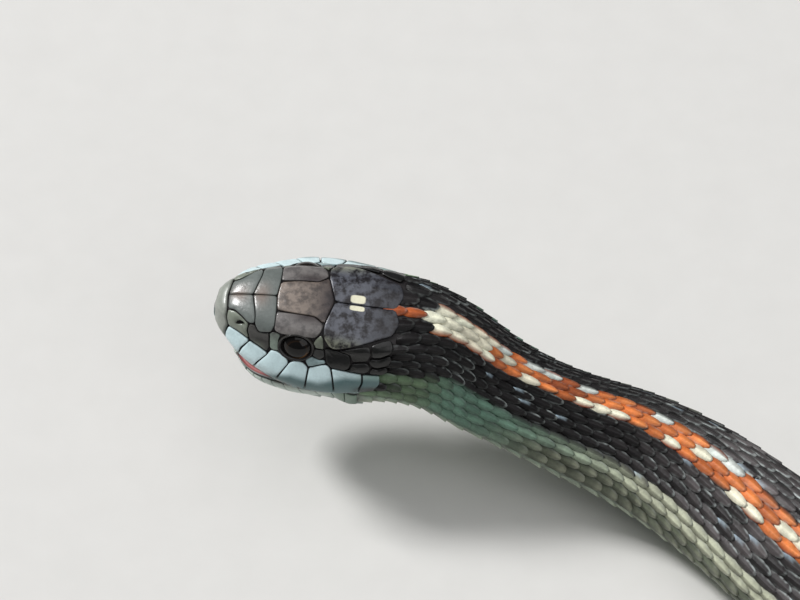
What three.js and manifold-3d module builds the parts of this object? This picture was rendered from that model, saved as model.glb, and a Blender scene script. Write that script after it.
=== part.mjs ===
// Garter snake with its head raised and its mouth open, life size, in millimetres, +Z up.
// The whole animal is one tube along a route on the floor. The route is measured from the snout,
// and each length of the animal is a loft of cross-sections between two thin cuts.

import * as THREE from 'three';
import { LoftGeometry } from 'three/addons/geometries/LoftGeometry.js';
import { mergeVertices } from 'three/addons/utils/BufferGeometryUtils.js';
import Module from 'manifold-3d';

// Overall sizes
const BODY_LENGTH = 530;
const CUT_GAP = 0.3;
const ROUTE_STEP = 0.5;
const SNOUT_START = [-16.55, -14.83];
const BOX_CENTRE = [125.987, -7.801];

// Course of the animal, each pair being the distance from the snout and the value there
const HEADING_DEG = [
  [0, -10], [4, -8], [9, -5], [14, -5], [19, -10], [25, -19], [31, -16], [38, -18], [46, -36],
  [54, -48], [64, -46], [82, -34], [120, 42], [152, 88], [202, 62], [238, -50], [272, -92],
  [330, -40], [366, 70], [398, 95], [442, 30], [480, -50], [505, -55], [530, -20],
];
const RAISED_HEIGHT = [
  [0, 15.9], [8, 15.75], [13, 15.4], [17, 14.6], [20.7, 13.2], [25.3, 10.8], [29, 9.3],
  [32.5, 8.0], [37, 6.7], [43, 5.8], [50, 5.2],
];
const ROLL_DEG = [[0, 12], [14, 12], [20, 8], [30, 2], [40, 0], [530, 0]];
const LANDING = [37, 58];

// Half width of the body, and its height above and below the widest level
const BODY_RADIUS = [
  [0, 5.8], [17, 5.8], [21, 5.35], [25, 5.0], [29, 4.75], [33, 4.8], [37, 5.1], [42, 5.5],
  [50, 5.9], [62, 6.1], [100, 6.3], [190, 6.5], [300, 6.2], [370, 5.2], [405, 4.4], [430, 3.9],
  [480, 2.45], [520, 1.1], [530, 0.7],
];
const BACK_RISE = 0.97;
const BELLY_DROP = 0.86;
const BELLY_POWER = 0.75;
const BELLY_CLIP = 1.05;

// Head, each pair being the distance behind the snout tip and the size there
const LIP_HALF_WIDTH = [
  [0, 1.15], [0.45, 2.0], [1, 2.7], [2.1, 3.86], [3.2, 4.68], [4.3, 5.25], [5.7, 5.85],
  [7.5, 6.43], [9.4, 6.66], [11.2, 6.65], [13, 6.45], [15, 6.2], [17, 6.0], [20, 5.6],
];
const CROWN_HALF_WIDTH = [
  [0, 0.65], [0.45, 1.15], [1, 1.6], [2.1, 2.2], [3.2, 2.6], [4.3, 2.85], [5.7, 3.1],
  [7.5, 3.45], [9.4, 3.5], [11.2, 3.8], [13, 4.0], [15, 4.0], [17, 3.9], [20, 3.7],
];
const CROWN_HEIGHT = [
  [0, 2.9], [0.45, 3.4], [1, 3.7], [2.1, 4.15], [4.3, 4.6], [5.7, 4.75], [7.5, 4.9],
  [9.4, 4.8], [11.2, 4.6], [13, 4.5], [15, 4.6], [17, 4.8], [20, 5.0],
];
const LIP_HEIGHT = [
  [0, 1.4], [1, 1.4], [2.1, 1.2], [3.2, 0.75], [4.3, 0.35], [5.7, 0], [7.5, -0.25],
  [9.4, -0.35], [12, -0.35], [14, -0.2], [17, 0],
];
const THROAT_DEPTH = [[13, 5.6], [15, 5.3], [17, 4.9], [21, 4.5]];
// From the crown's edge out to the lip: shares of the way out, and of the height above the lip
const SIDE_PROFILE = [[0.22, 0.69], [0.42, 0.53], [0.6, 0.4], [0.9, 0.19], [1, 0]];
const HEAD_TO_NECK = [13.5, 21.5];
const HEAD_END = 20.5;
const LIP_ROLL = 0.55;
const LIP_EDGE = 0.15;
const TIP_ROUNDING = 0.15;
const TIP_SHRINK = 0.6;
const PALATE_RISE = 1.1;

// Mouth and lower jaw, the jaw's sizes being measured forward from the corner of the mouth
const MOUTH_CORNER = 13.2;
const MOUTH_WALL = 0.3;
const GAPE_DEG = 33;
const GAPE_BEND = 4;
const JAW_LENGTH = 12.7;
const JAW_HALF_WIDTH = [
  [0, 6.2], [3, 6.2], [6, 5.7], [8, 5.05], [10, 4.15], [11.3, 3.15], [12.2, 2.05], [12.7, 1.2],
];
const JAW_DEPTH = [[0, 5.4], [3, 4.4], [6, 3.5], [9, 2.8], [11.5, 2.2], [12.7, 1.5]];
const JAW_FLOOR_DROP = 0.9;

// Eyes and nostrils, in the head's own directions: behind the snout tip, sideways, up
const EYE_CENTRE = [7.8, 3.6, 2.65];
const EYE_RADIUS = 1.5;
const SOCKET_RADIUS = 1.8;
const NOSTRIL_CENTRE = [2.65, 2.6, 3.75];
const NOSTRIL_RADIUS = 0.42;

// Shields of the head, outlined by distance behind the snout tip and sideways from the midline
const SHIELD_RISE = 0.14;
const SHIELD_ROOT = 0.5;
const SUTURE = 0.09;
const FRONTAL = [
  [5.6, 0], [5.75, 1.45], [7.5, 1.7], [9, 1.75], [9.8, 2.0], [10.6, 0],
  [9.8, -2.0], [9, -1.75], [7.5, -1.7], [5.75, -1.45],
];
const PAIRED_SHIELDS = {
  internasal: [[1.3, 0], [1.35, 1.3], [2.05, 1.55], [2.7, 2.05], [3.4, 2.6], [3.9, 2.65], [3.75, 1.2],
    [3.45, 0]],
  prefrontal: [[3.45, 0], [3.75, 1.2], [3.9, 2.65], [4.2, 3.0], [5.6, 3.2], [5.75, 1.45], [5.6, 0]],
  supraocular: [[5.75, 1.45], [5.6, 3.2], [6.3, 3.4], [7.6, 3.5], [9.2, 3.5], [9.8, 3.3], [9.8, 2.0],
    [9, 1.75], [7.5, 1.7]],
  parietal: [[10.6, 0], [9.8, 2.0], [9.8, 3.3], [10.6, 3.9], [11.4, 4.0], [13.1, 3.75], [14.6, 3.2],
    [15.6, 2.4], [15.9, 1.3], [15.6, 0]],
};
const LABIAL_SUTURES = [1.3, 3.1, 4.75, 6.7, 8.75, 11.05, 13.1];
const LABIAL_TOP = 0.62;
const LABIAL_FOOT = 0.97;

// Lengths of the animal behind the head
const NECK_END = 40;
const VENT = 405;
const BODY_LENGTHS = 14;
const TAIL_LENGTHS = 4;
const STATION_SPACING = 3.4;
const SECTION_SIDES = 20;

// Colours of the main parts
const DARK_BACK = 0x2a2522;
const PALE_SIDE = 0xb9bfa4;
const JAW_PALE = 0xb8c6c4;
const EYE_DARK = 0x15110f;

const wasm = await Module();
wasm.setup();

// Smooth value through pairs of place and value, held level beyond both ends
function smooth(knots, place) {
  const last = knots.length - 1;
  const x = Math.min(Math.max(place, knots[0][0]), knots[last][0]);
  let i = 0;
  while (i < last - 1 && x >= knots[i + 1][0]) i += 1;
  const slope = (k) => {
    const before = knots[Math.max(k - 1, 0)];
    const after = knots[Math.min(k + 1, last)];
    return (after[1] - before[1]) / (after[0] - before[0]);
  };
  const width = knots[i + 1][0] - knots[i][0];
  const t = (x - knots[i][0]) / width;
  const rise = knots[i + 1][1] - knots[i][1];
  const bend = t * (1 - t) * ((1 - t) * (slope(i) * width - rise) - t * (slope(i + 1) * width - rise));
  return knots[i][1] + rise * t + bend;
}

function smoothstep(from, to, place) {
  return THREE.MathUtils.smoothstep(place, from, to);
}

function mix(a, b, share) {
  return [a[0] + (b[0] - a[0]) * share, a[1] + (b[1] - a[1]) * share];
}

// The route: height of the widest level, then place and directions every half millimetre
function centreHeight(s) {
  const resting = BELLY_DROP * smooth(BODY_RADIUS, s);
  return THREE.MathUtils.lerp(smooth(RAISED_HEIGHT, s), resting, smoothstep(...LANDING, s));
}

function heading(s) {
  return THREE.MathUtils.degToRad(smooth(HEADING_DEG, s));
}

// Slope of the raised part, easing to nothing where the belly lies on the floor
function pitch(s) {
  const rise = (centreHeight(s + ROUTE_STEP) - centreHeight(s - ROUTE_STEP)) / (2 * ROUTE_STEP);
  return Math.atan(rise) * (1 - smoothstep(...LANDING, s));
}

function buildRoute() {
  const route = [new THREE.Vector2(...SNOUT_START)];
  const forward = (s) => new THREE.Vector2(Math.cos(heading(s)), Math.sin(heading(s)))
    .multiplyScalar(Math.cos(pitch(s)) * ROUTE_STEP / 2);
  for (let s = 0; s < BODY_LENGTH; s += ROUTE_STEP) {
    const next = route[route.length - 1].clone();
    route.push(next.add(forward(s)).add(forward(s + ROUTE_STEP)));
  }
  return route;
}

const route = buildRoute();

// Place on the route with three directions: back towards the tail, to the animal's left, and up
function frameAt(s) {
  const index = Math.min(Math.floor(s / ROUTE_STEP), route.length - 2);
  const ground = route[index].clone().lerp(route[index + 1], s / ROUTE_STEP - index);
  const origin = new THREE.Vector3(ground.x, ground.y, centreHeight(s));
  const turn = heading(s);
  const slope = pitch(s);
  const back = new THREE.Vector3(
    Math.cos(turn) * Math.cos(slope), Math.sin(turn) * Math.cos(slope), Math.sin(slope));
  const level = new THREE.Vector3(
    -Math.cos(turn) * Math.sin(slope), -Math.sin(turn) * Math.sin(slope), Math.cos(slope));
  const roll = THREE.MathUtils.degToRad(smooth(ROLL_DEG, s));
  const side = back.clone().cross(level);
  const up = level.clone().multiplyScalar(Math.cos(roll)).addScaledVector(side, Math.sin(roll));
  const left = back.clone().cross(up);
  return { origin, back, left, up };
}

function placed(frame, across, height) {
  return frame.origin.clone().addScaledVector(frame.left, across).addScaledVector(frame.up, height);
}

// Cross-sections. Around runs from 0 at the midline of the back, through 1 at the widest level
// or lip, to 2 at the midline of the belly.
function bodySection(s, around) {
  const radius = smooth(BODY_RADIUS, s);
  const angle = around * Math.PI / 2;
  const across = radius * Math.sin(angle);
  if (around <= 1) return [across, radius * BACK_RISE * Math.cos(angle)];
  const drop = Math.min(1, BELLY_CLIP * Math.abs(Math.cos(angle)) ** BELLY_POWER);
  return [across, -radius * BELLY_DROP * drop];
}

function headProfile(s) {
  const lip = smooth(LIP_HALF_WIDTH, s);
  const edge = smooth(CROWN_HALF_WIDTH, s);
  const low = smooth(LIP_HEIGHT, s);
  const rise = smooth(CROWN_HEIGHT, s) - low;
  const sides = SIDE_PROFILE.map(([out, up]) => [edge + (lip - edge) * out, low + rise * up]);
  return [[0, low + rise], [0.55 * edge, low + 0.99 * rise], [edge, low + 0.89 * rise], ...sides];
}

function throatProfile(s) {
  const lip = smooth(LIP_HALF_WIDTH, s);
  const low = smooth(LIP_HEIGHT, s);
  const depth = smooth(THROAT_DEPTH, s);
  return [
    [lip, low], [0.995 * lip, -0.3 * depth], [0.95 * lip, -0.56 * depth],
    [0.76 * lip, -0.84 * depth], [0.42 * lip, -0.98 * depth], [0, -depth],
  ];
}

// Smooth point along a list of across and height pairs, at a share of its length in points
function along(profile, share) {
  const place = share * (profile.length - 1);
  const across = profile.map((point, i) => [i, point[0]]);
  const height = profile.map((point, i) => [i, point[1]]);
  return [smooth(across, place), smooth(height, place)];
}

function fullSection(s, around) {
  const head = around <= 1 ? along(headProfile(s), around) : along(throatProfile(s), around - 1);
  return mix(head, bodySection(s, around), smoothstep(...HEAD_TO_NECK, s));
}

function mouthRoof(s, across) {
  const lip = smooth(LIP_HALF_WIDTH, s);
  const low = smooth(LIP_HEIGHT, s);
  const inside = Math.min(1, (lip - Math.abs(across)) / (2 * LIP_ROLL));
  const roof = Math.min(PALATE_RISE, 0.35 * (smooth(CROWN_HEIGHT, s) - low));
  const dome = smoothstep(0.3, 1, inside) * (1 - 0.4 * (across / lip) ** 2);
  return low - LIP_EDGE + (roof + LIP_EDGE) * dome;
}

// Closed loops of points for the lofts, wound the same way
const UPPER_POINTS = 11;
const UNDER_POINTS = 9;

function upperLoop(s) {
  const frame = frameAt(s);
  const lip = smooth(LIP_HALF_WIDTH, s);
  const points = [];
  for (let i = -UPPER_POINTS; i <= UPPER_POINTS; i += 1) {
    const [across, height] = fullSection(s, Math.abs(i) / UPPER_POINTS);
    points.push(placed(frame, Math.sign(i) * across, height));
  }
  for (let i = 1; i < UNDER_POINTS; i += 1) {
    const across = lip * Math.cos(Math.PI * i / UNDER_POINTS);
    points.push(placed(frame, across, mouthRoof(s, across)));
  }
  return points;
}

function headLoop(s) {
  const frame = frameAt(s);
  const points = [];
  for (let i = -UPPER_POINTS; i <= UPPER_POINTS; i += 1) {
    const [across, height] = fullSection(s, Math.abs(i) / UPPER_POINTS);
    points.push(placed(frame, Math.sign(i) * across, height));
  }
  for (let i = 1; i < UNDER_POINTS; i += 1) {
    const around = 2 - Math.abs(1 - 2 * i / UNDER_POINTS);
    const [across, height] = fullSection(s, around);
    points.push(placed(frame, i * 2 < UNDER_POINTS ? across : -across, height));
  }
  return points;
}

function bodyLoop(s) {
  const frame = frameAt(s);
  const points = [];
  for (let i = 0; i < SECTION_SIDES; i += 1) {
    const turn = 4 * (i + 0.5) / SECTION_SIDES;
    const around = turn <= 2 ? turn : 4 - turn;
    const [across, height] = fullSection(s, around);
    points.push(placed(frame, turn <= 2 ? across : -across, height));
  }
  return points;
}

// The lower jaw swings down about the corner of the mouth, bending over its first millimetres
const hinge = frameAt(MOUTH_CORNER);

function jawFrame(forward) {
  const gape = THREE.MathUtils.degToRad(GAPE_DEG);
  const steps = 20;
  const place = new THREE.Vector2();
  for (let i = 0; i < steps; i += 1) {
    const angle = gape * smoothstep(0, GAPE_BEND, forward * (i + 0.5) / steps);
    place.add(new THREE.Vector2(Math.cos(angle), -Math.sin(angle)).multiplyScalar(forward / steps));
  }
  const angle = gape * smoothstep(0, GAPE_BEND, forward);
  const origin = hinge.origin.clone().addScaledVector(hinge.back, -place.x)
    .addScaledVector(hinge.up, place.y - CUT_GAP);
  const up = hinge.up.clone().multiplyScalar(Math.cos(angle))
    .addScaledVector(hinge.back, -Math.sin(angle));
  return { origin, left: hinge.left, up };
}

function jawLoop(forward) {
  const frame = jawFrame(forward);
  const width = smooth(JAW_HALF_WIDTH, forward);
  const depth = smooth(JAW_DEPTH, forward);
  const floor = Math.min(JAW_FLOOR_DROP, 0.4 * depth);
  const half = [
    [0, -floor], [0.5 * width, -0.85 * floor], [0.8 * width, -0.35 * floor], [0.93 * width, 0],
    [width, -0.12 * depth], [width, -0.33 * depth], [0.93 * width, -0.6 * depth],
    [0.72 * width, -0.86 * depth], [0.4 * width, -0.98 * depth], [0, -depth],
  ];
  const right = half.map(([across, height]) => placed(frame, -across, height));
  const left = half.slice(1, -1).reverse().map(([across, height]) => placed(frame, across, height));
  return [...right, ...left];
}

// Evenly spaced stations between two places, both included
function stations(from, to, spacing) {
  const count = Math.max(1, Math.round((to - from) / spacing));
  return Array.from({ length: count + 1 }, (unused, i) => from + (to - from) * i / count);
}

// One closed surface with shared corners, without the triangles that have collapsed to a line
function welded(geometry) {
  const bare = new THREE.BufferGeometry();
  bare.setAttribute('position', geometry.attributes.position);
  bare.setIndex(geometry.index);
  const merged = mergeVertices(bare, 1e-4);
  const index = Array.from(merged.index.array);
  const corners = [];
  for (let i = 0; i < index.length; i += 3) {
    const [a, b, c] = index.slice(i, i + 3);
    if (a !== b && b !== c && c !== a) corners.push(a, b, c);
  }
  merged.setIndex(corners);
  merged.computeVertexNormals();
  return merged;
}

// Loft whose two ends close on the middle of their loops
function loft(loops) {
  const middle = (loop) => {
    const centre = loop.reduce((sum, point) => sum.add(point), new THREE.Vector3());
    centre.divideScalar(loop.length);
    return loop.map(() => centre);
  };
  return welded(new LoftGeometry([middle(loops[0]), ...loops, middle(loops[loops.length - 1])]));
}

// Between three.js geometry and the solids that are joined and cut
function toSolid(geometry) {
  return new wasm.Manifold(new wasm.Mesh({
    numProp: 3,
    vertProperties: new Float32Array(geometry.attributes.position.array),
    triVerts: new Uint32Array(geometry.index.array),
  }));
}

function toGeometry(solid) {
  const mesh = solid.getMesh();
  const geometry = new THREE.BufferGeometry();
  geometry.setAttribute('position', new THREE.Float32BufferAttribute(mesh.vertProperties, 3));
  geometry.setIndex(Array.from(mesh.triVerts));
  geometry.computeVertexNormals();
  return geometry;
}

function largest(solid) {
  return solid.decompose().reduce((best, piece) => (piece.volume() > best.volume() ? piece : best));
}

// Point of the head's skin, raised along the skin's own outward direction
function headSkin(s, across, rise) {
  const steps = 16;
  const side = Math.abs(across);
  const outline = Array.from({ length: steps + 1 }, (unused, i) => fullSection(s, i / steps)[0]);
  let i = 0;
  while (i < steps - 1 && side > outline[i + 1]) i += 1;
  const share = (side - outline[i]) / (outline[i + 1] - outline[i]);
  const around = (i + Math.min(Math.max(share, 0), 1)) / steps;
  const here = fullSection(s, around);
  const before = fullSection(s, Math.max(around - 0.5 / steps, 0));
  const after = fullSection(s, Math.min(around + 0.5 / steps, 1));
  const outward = new THREE.Vector2(before[1] - after[1], after[0] - before[0]).normalize();
  const sign = across < 0 ? -1 : 1;
  return placed(frameAt(s), sign * (here[0] + outward.x * rise), here[1] + outward.y * rise);
}

// One raised shield: its outline drawn in by the suture, with a root sunk in the head
function shield(outline) {
  const centre = outline.reduce((sum, point) => [sum[0] + point[0], sum[1] + point[1]], [0, 0])
    .map((sum) => sum / outline.length);
  const inset = outline.map(([s, across]) => {
    const reach = Math.hypot(s - centre[0], across - centre[1]);
    return mix([s, across], centre, SUTURE / reach);
  });
  const edge = inset.flatMap((point, i) => [point, mix(point, inset[(i + 1) % inset.length], 0.5)]);
  const ring = (shrink, rise) => edge.map((point) => {
    const [s, across] = mix(centre, point, shrink);
    return headSkin(s, across, rise);
  });
  return loft([
    ring(1, -SHIELD_ROOT), ring(1, 0.6 * SHIELD_RISE), ring(0.85, SHIELD_RISE), ring(0.4, SHIELD_RISE),
  ]);
}

function labialOutline(from, to, side) {
  const middle = (from + to) / 2;
  const at = (s, out) => {
    const edge = smooth(CROWN_HALF_WIDTH, s);
    return [s, side * (edge + (smooth(LIP_HALF_WIDTH, s) - edge) * out)];
  };
  return [
    at(from, LABIAL_FOOT), at(middle, LABIAL_FOOT), at(to, LABIAL_FOOT),
    at(to, LABIAL_TOP), at(middle, LABIAL_TOP - 0.03), at(from, LABIAL_TOP),
  ];
}

function headShields() {
  const outlines = [FRONTAL];
  for (const side of [1, -1]) {
    for (const outline of Object.values(PAIRED_SHIELDS)) {
      outlines.push(outline.map(([s, across]) => [s, side * across]));
    }
    for (let i = 0; i + 1 < LABIAL_SUTURES.length; i += 1) {
      outlines.push(labialOutline(LABIAL_SUTURES[i], LABIAL_SUTURES[i + 1], side));
    }
  }
  return outlines.map((outline) => {
    const solid = toSolid(shield(outline));
    return solid.volume() > 0 ? solid : toSolid(shield([...outline].reverse()));
  });
}

// A smaller copy of an end loop, set ahead of it, which rounds the end off
function tipLoop(loop, ahead) {
  const centre = loop.reduce((sum, point) => sum.add(point), new THREE.Vector3());
  centre.divideScalar(loop.length);
  return loop.map((point) => centre.clone().lerp(point, TIP_SHRINK).add(ahead));
}

function ball(radius, [s, across, height], side, columns, rows) {
  const geometry = new THREE.SphereGeometry(radius, columns, rows);
  const centre = placed(frameAt(s), side * across, height);
  return welded(geometry.translate(centre.x, centre.y, centre.z));
}

function headSolid() {
  const snout = [0, 0.2, 0.5, 1, 1.6, 2.2];
  const front = [...snout, ...stations(3, MOUTH_CORNER, 0.95)].map(upperLoop);
  const rear = stations(MOUTH_CORNER + MOUTH_WALL, HEAD_END, 1).map(headLoop);
  const tip = tipLoop(front[0], frameAt(0).back.multiplyScalar(-TIP_ROUNDING));
  let solid = toSolid(loft([tip, ...front, ...rear]));
  for (const plate of headShields()) solid = solid.add(plate);
  for (const side of [1, -1]) {
    solid = solid.subtract(toSolid(ball(SOCKET_RADIUS, EYE_CENTRE, side, 16, 10)));
    solid = solid.subtract(toSolid(ball(NOSTRIL_RADIUS, NOSTRIL_CENTRE, side, 8, 6)));
  }
  return largest(solid);
}

function lowerJaw() {
  const loops = [...stations(CUT_GAP, 11.3, 1), 12.2, JAW_LENGTH].map(jawLoop);
  const frame = jawFrame(JAW_LENGTH);
  const ahead = frame.left.clone().cross(frame.up).multiplyScalar(TIP_ROUNDING);
  return loft([...loops, tipLoop(loops[loops.length - 1], ahead)]);
}

// The group of named parts
const snake = new THREE.Group();

function addPart(name, geometry, color, roughness) {
  const material = new THREE.MeshStandardMaterial({ color, roughness, metalness: 0 });
  const mesh = new THREE.Mesh(geometry, material);
  mesh.name = name;
  snake.add(mesh);
}

function addLength(name, from, to) {
  const places = stations(from + CUT_GAP / 2, to - CUT_GAP / 2, STATION_SPACING);
  addPart(name, loft(places.map(bodyLoop)), DARK_BACK, 0.45);
}

addPart('head', toGeometry(headSolid()), PALE_SIDE, 0.4);
addPart('lower_jaw', lowerJaw(), JAW_PALE, 0.4);
addPart('left_eye', ball(EYE_RADIUS, EYE_CENTRE, 1, 20, 12), EYE_DARK, 0.05);
addPart('right_eye', ball(EYE_RADIUS, EYE_CENTRE, -1, 20, 12), EYE_DARK, 0.05);
addLength('neck', HEAD_END + CUT_GAP / 2, NECK_END);
for (let i = 0; i < BODY_LENGTHS; i += 1) {
  const span = (VENT - NECK_END) / BODY_LENGTHS;
  addLength(`body_${i + 1}`, NECK_END + i * span, NECK_END + (i + 1) * span);
}
for (let i = 0; i < TAIL_LENGTHS; i += 1) {
  const span = (BODY_LENGTH - VENT) / TAIL_LENGTHS;
  addLength(`tail_${i + 1}`, VENT + i * span, VENT + (i + 1) * span);
}

snake.position.set(-BOX_CENTRE[0], -BOX_CENTRE[1], 0);

export default snake;
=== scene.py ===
import math

import bmesh
import bpy
import numpy as np
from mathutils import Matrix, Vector


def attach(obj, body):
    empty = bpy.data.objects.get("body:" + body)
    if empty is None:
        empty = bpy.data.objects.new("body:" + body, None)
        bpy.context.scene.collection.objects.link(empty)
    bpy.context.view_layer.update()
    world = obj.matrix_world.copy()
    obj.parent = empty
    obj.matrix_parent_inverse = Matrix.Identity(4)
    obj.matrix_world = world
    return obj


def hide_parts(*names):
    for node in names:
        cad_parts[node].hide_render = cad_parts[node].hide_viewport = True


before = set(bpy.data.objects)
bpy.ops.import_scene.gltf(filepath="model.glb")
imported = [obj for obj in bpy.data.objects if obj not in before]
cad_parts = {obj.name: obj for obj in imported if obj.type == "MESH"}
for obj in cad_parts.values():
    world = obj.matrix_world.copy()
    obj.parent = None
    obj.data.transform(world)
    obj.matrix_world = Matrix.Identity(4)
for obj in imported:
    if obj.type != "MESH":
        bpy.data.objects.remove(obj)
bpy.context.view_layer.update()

# Garter snake with its head raised and its mouth open. Sizes are in millimetres until the meshes
# are made. The whole animal is one tube along a route that is measured from the snout, so that
# every scale has a place behind the snout tip and a place around the body.
MM = 0.001

# Overall sizes
BODY_LENGTH = 530
ROUTE_STEP = 0.5
SNOUT_START = (-16.55, -14.83)
BOX_CENTRE = (125.987, -7.801)

# Course of the animal, each pair being the distance from the snout and the value there
HEADING_DEG = [
    (0, -10), (4, -8), (9, -5), (14, -5), (19, -10), (25, -19), (31, -16), (38, -18), (46, -36),
    (54, -48), (64, -46), (82, -34), (120, 42), (152, 88), (202, 62), (238, -50), (272, -92),
    (330, -40), (366, 70), (398, 95), (442, 30), (480, -50), (505, -55), (530, -20),
]
RAISED_HEIGHT = [
    (0, 15.9), (8, 15.75), (13, 15.4), (17, 14.6), (20.7, 13.2), (25.3, 10.8), (29, 9.3),
    (32.5, 8.0), (37, 6.7), (43, 5.8), (50, 5.2),
]
ROLL_DEG = [(0, 12), (14, 12), (20, 8), (30, 2), (40, 0), (530, 0)]
LANDING = (37, 58)

# Half width of the body, and its height above and below the widest level
BODY_RADIUS = [
    (0, 5.8), (17, 5.8), (21, 5.35), (25, 5.0), (29, 4.75), (33, 4.8), (37, 5.1), (42, 5.5),
    (50, 5.9), (62, 6.1), (100, 6.3), (190, 6.5), (300, 6.2), (370, 5.2), (405, 4.4), (430, 3.9),
    (480, 2.45), (520, 1.1), (530, 0.7),
]
BACK_RISE = 0.97
BELLY_DROP = 0.86
BELLY_POWER = 0.75
BELLY_CLIP = 1.05

# Head, each pair being the distance behind the snout tip and the size there
LIP_HALF_WIDTH = [
    (0, 1.15), (0.45, 2.0), (1, 2.7), (2.1, 3.86), (3.2, 4.68), (4.3, 5.25), (5.7, 5.85),
    (7.5, 6.43), (9.4, 6.66), (11.2, 6.65), (13, 6.45), (15, 6.2), (17, 6.0), (20, 5.6),
]
CROWN_HALF_WIDTH = [
    (0, 0.65), (0.45, 1.15), (1, 1.6), (2.1, 2.2), (3.2, 2.6), (4.3, 2.85), (5.7, 3.1),
    (7.5, 3.45), (9.4, 3.5), (11.2, 3.8), (13, 4.0), (15, 4.0), (17, 3.9), (20, 3.7),
]
CROWN_HEIGHT = [
    (0, 2.9), (0.45, 3.4), (1, 3.7), (2.1, 4.15), (4.3, 4.6), (5.7, 4.75), (7.5, 4.9),
    (9.4, 4.8), (11.2, 4.6), (13, 4.5), (15, 4.6), (17, 4.8), (20, 5.0),
]
LIP_HEIGHT = [
    (0, 1.4), (1, 1.4), (2.1, 1.2), (3.2, 0.75), (4.3, 0.35), (5.7, 0), (7.5, -0.25),
    (9.4, -0.35), (12, -0.35), (14, -0.2), (17, 0),
]
THROAT_DEPTH = [(13, 5.6), (15, 5.3), (17, 4.9), (21, 4.5)]
# From the midline to the crown's edge, and from there to the lip: shares of the way out, and of
# the height above the lip
CROWN_PROFILE = [(0, 1), (0.55, 0.99), (1, 0.89)]
SIDE_PROFILE = [(0.22, 0.69), (0.42, 0.53), (0.6, 0.4), (0.9, 0.19), (1, 0)]
# From the lip to the midline below: shares of the width and of the depth
THROAT_PROFILE = [(0.995, 0.3), (0.95, 0.56), (0.76, 0.84), (0.42, 0.98), (0, 1)]
HEAD_TO_NECK = (13.5, 21.5)
LIP_ROLL = 0.55
LIP_EDGE = 0.15
PALATE_RISE = 1.1
PALATE_SHARE = 0.35
PALATE_ARCH = 0.4

# Mouth and lower jaw, the jaw's sizes being measured forward from the corner of the mouth
MOUTH_CORNER = 13.2
GAPE_DEG = 33
GAPE_BEND = 4
JAW_LENGTH = 12.7
JAW_HALF_WIDTH = [
    (0, 6.2), (3, 6.2), (6, 5.7), (8, 5.05), (10, 4.15), (11.3, 3.15), (12.2, 2.05), (12.7, 1.2),
]
JAW_DEPTH = [(0, 5.4), (3, 4.4), (6, 3.5), (9, 2.8), (11.5, 2.2), (12.7, 1.5)]
JAW_FLOOR_DROP = 0.9
JAW_FLOOR_SHARE = 0.4
# Outside of the jaw from its lip to its midline, and inside from its midline to its lip
JAW_OUTSIDE = [(0.93, 0), (1, 0.12), (1, 0.33), (0.93, 0.6), (0.72, 0.86), (0.4, 0.98), (0, 1)]
JAW_INSIDE = [(0, 1), (0.5, 0.85), (0.8, 0.35), (0.93, 0)]
THROAT_TO_JAW = 3.0
GULLET_DEPTH = 3.6
GULLET_START = 8.5

# Rounded ends
SNOUT_TIP = 0.25
SNOUT_MIDDLE = 1.72
JAW_TIP = 0.3
JAW_MIDDLE = -0.2
TAIL_START = 529.0
TAIL_TIP = 0.95

# Eyes and nostrils, in the head's own directions: behind the snout tip, sideways, up
EYE_CENTRE = (7.8, 3.6, 2.65)
EYE_HALF_SIZES = (1.5, 1.45, 1.15)
EYE_PLACE = (7.85, 0.42)

AROUND_MM = 6.2

# The skin lies under the scales by this much, and comes up to the line of the lips
SKIN_DEPTH = 0.16

# Points nearer than this are one, in metres, and a place this near to 1 or -1 is on the border
WELD = 1e-6
NEAR_BORDER = 0.998
TINY = 1e-9


def colour(red, green, blue):
    """Linear colour from the usual 0 to 255 values"""
    value = np.array([red, green, blue]) / 255
    return np.where(value <= 0.04045, value / 12.92, ((value + 0.055) / 1.055) ** 2.4)


# Numbers that vary smoothly
def smooth(knots, place):
    """Smooth value through pairs of place and value, held level beyond both ends"""
    x, y = np.array(knots, float).T
    slope = np.empty_like(y)
    slope[1:-1] = (y[2:] - y[:-2]) / (x[2:] - x[:-2])
    slope[0] = (y[1] - y[0]) / (x[1] - x[0])
    slope[-1] = (y[-1] - y[-2]) / (x[-1] - x[-2])
    place = np.clip(place, x[0], x[-1])
    i = np.clip(np.searchsorted(x, place, side="right") - 1, 0, len(x) - 2)
    width = x[i + 1] - x[i]
    t = (place - x[i]) / width
    rise = y[i + 1] - y[i]
    bend = t * (1 - t) * ((1 - t) * (slope[i] * width - rise) - t * (slope[i + 1] * width - rise))
    return y[i] + rise * t + bend


def smoothstep(start, end, place):
    t = np.clip((place - start) / (end - start), 0, 1)
    return t * t * (3 - 2 * t)


def within(rise, fall, place):
    """1 between two stretches, over which it rises from 0 and falls back"""
    return smoothstep(*rise, place) * (1 - smoothstep(*fall, place))


def blend(a, b, share):
    return a + (b - a) * share


def hump(*shares):
    """Smooth hump that is 1 where every share is nothing, and fades out past a share of 1"""
    return np.exp(-sum(share ** 2 for share in shares))


def along(profile, share):
    """Smooth point along (across, height) pairs, at a share of the profile's length in points"""
    share = np.asarray(share, float)
    last = len(profile) - 1
    points = np.array([[np.broadcast_to(value, share.shape) for value in pair] for pair in profile])
    place = np.clip(share * last, 0, last)
    i = np.minimum(place.astype(int), last - 1)
    t = place - i

    def value(k):
        return np.take_along_axis(points, np.clip(k, 0, last)[None, None], 0)[0]

    def slope(k):
        span = np.where((k == 0) | (k == last), 1, 2)
        return (value(k + 1) - value(k - 1)) / span

    rise = value(i + 1) - value(i)
    bend = t * (1 - t) * ((1 - t) * (slope(i) - rise) - t * (slope(i + 1) - rise))
    return value(i) + rise * t + bend


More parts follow.
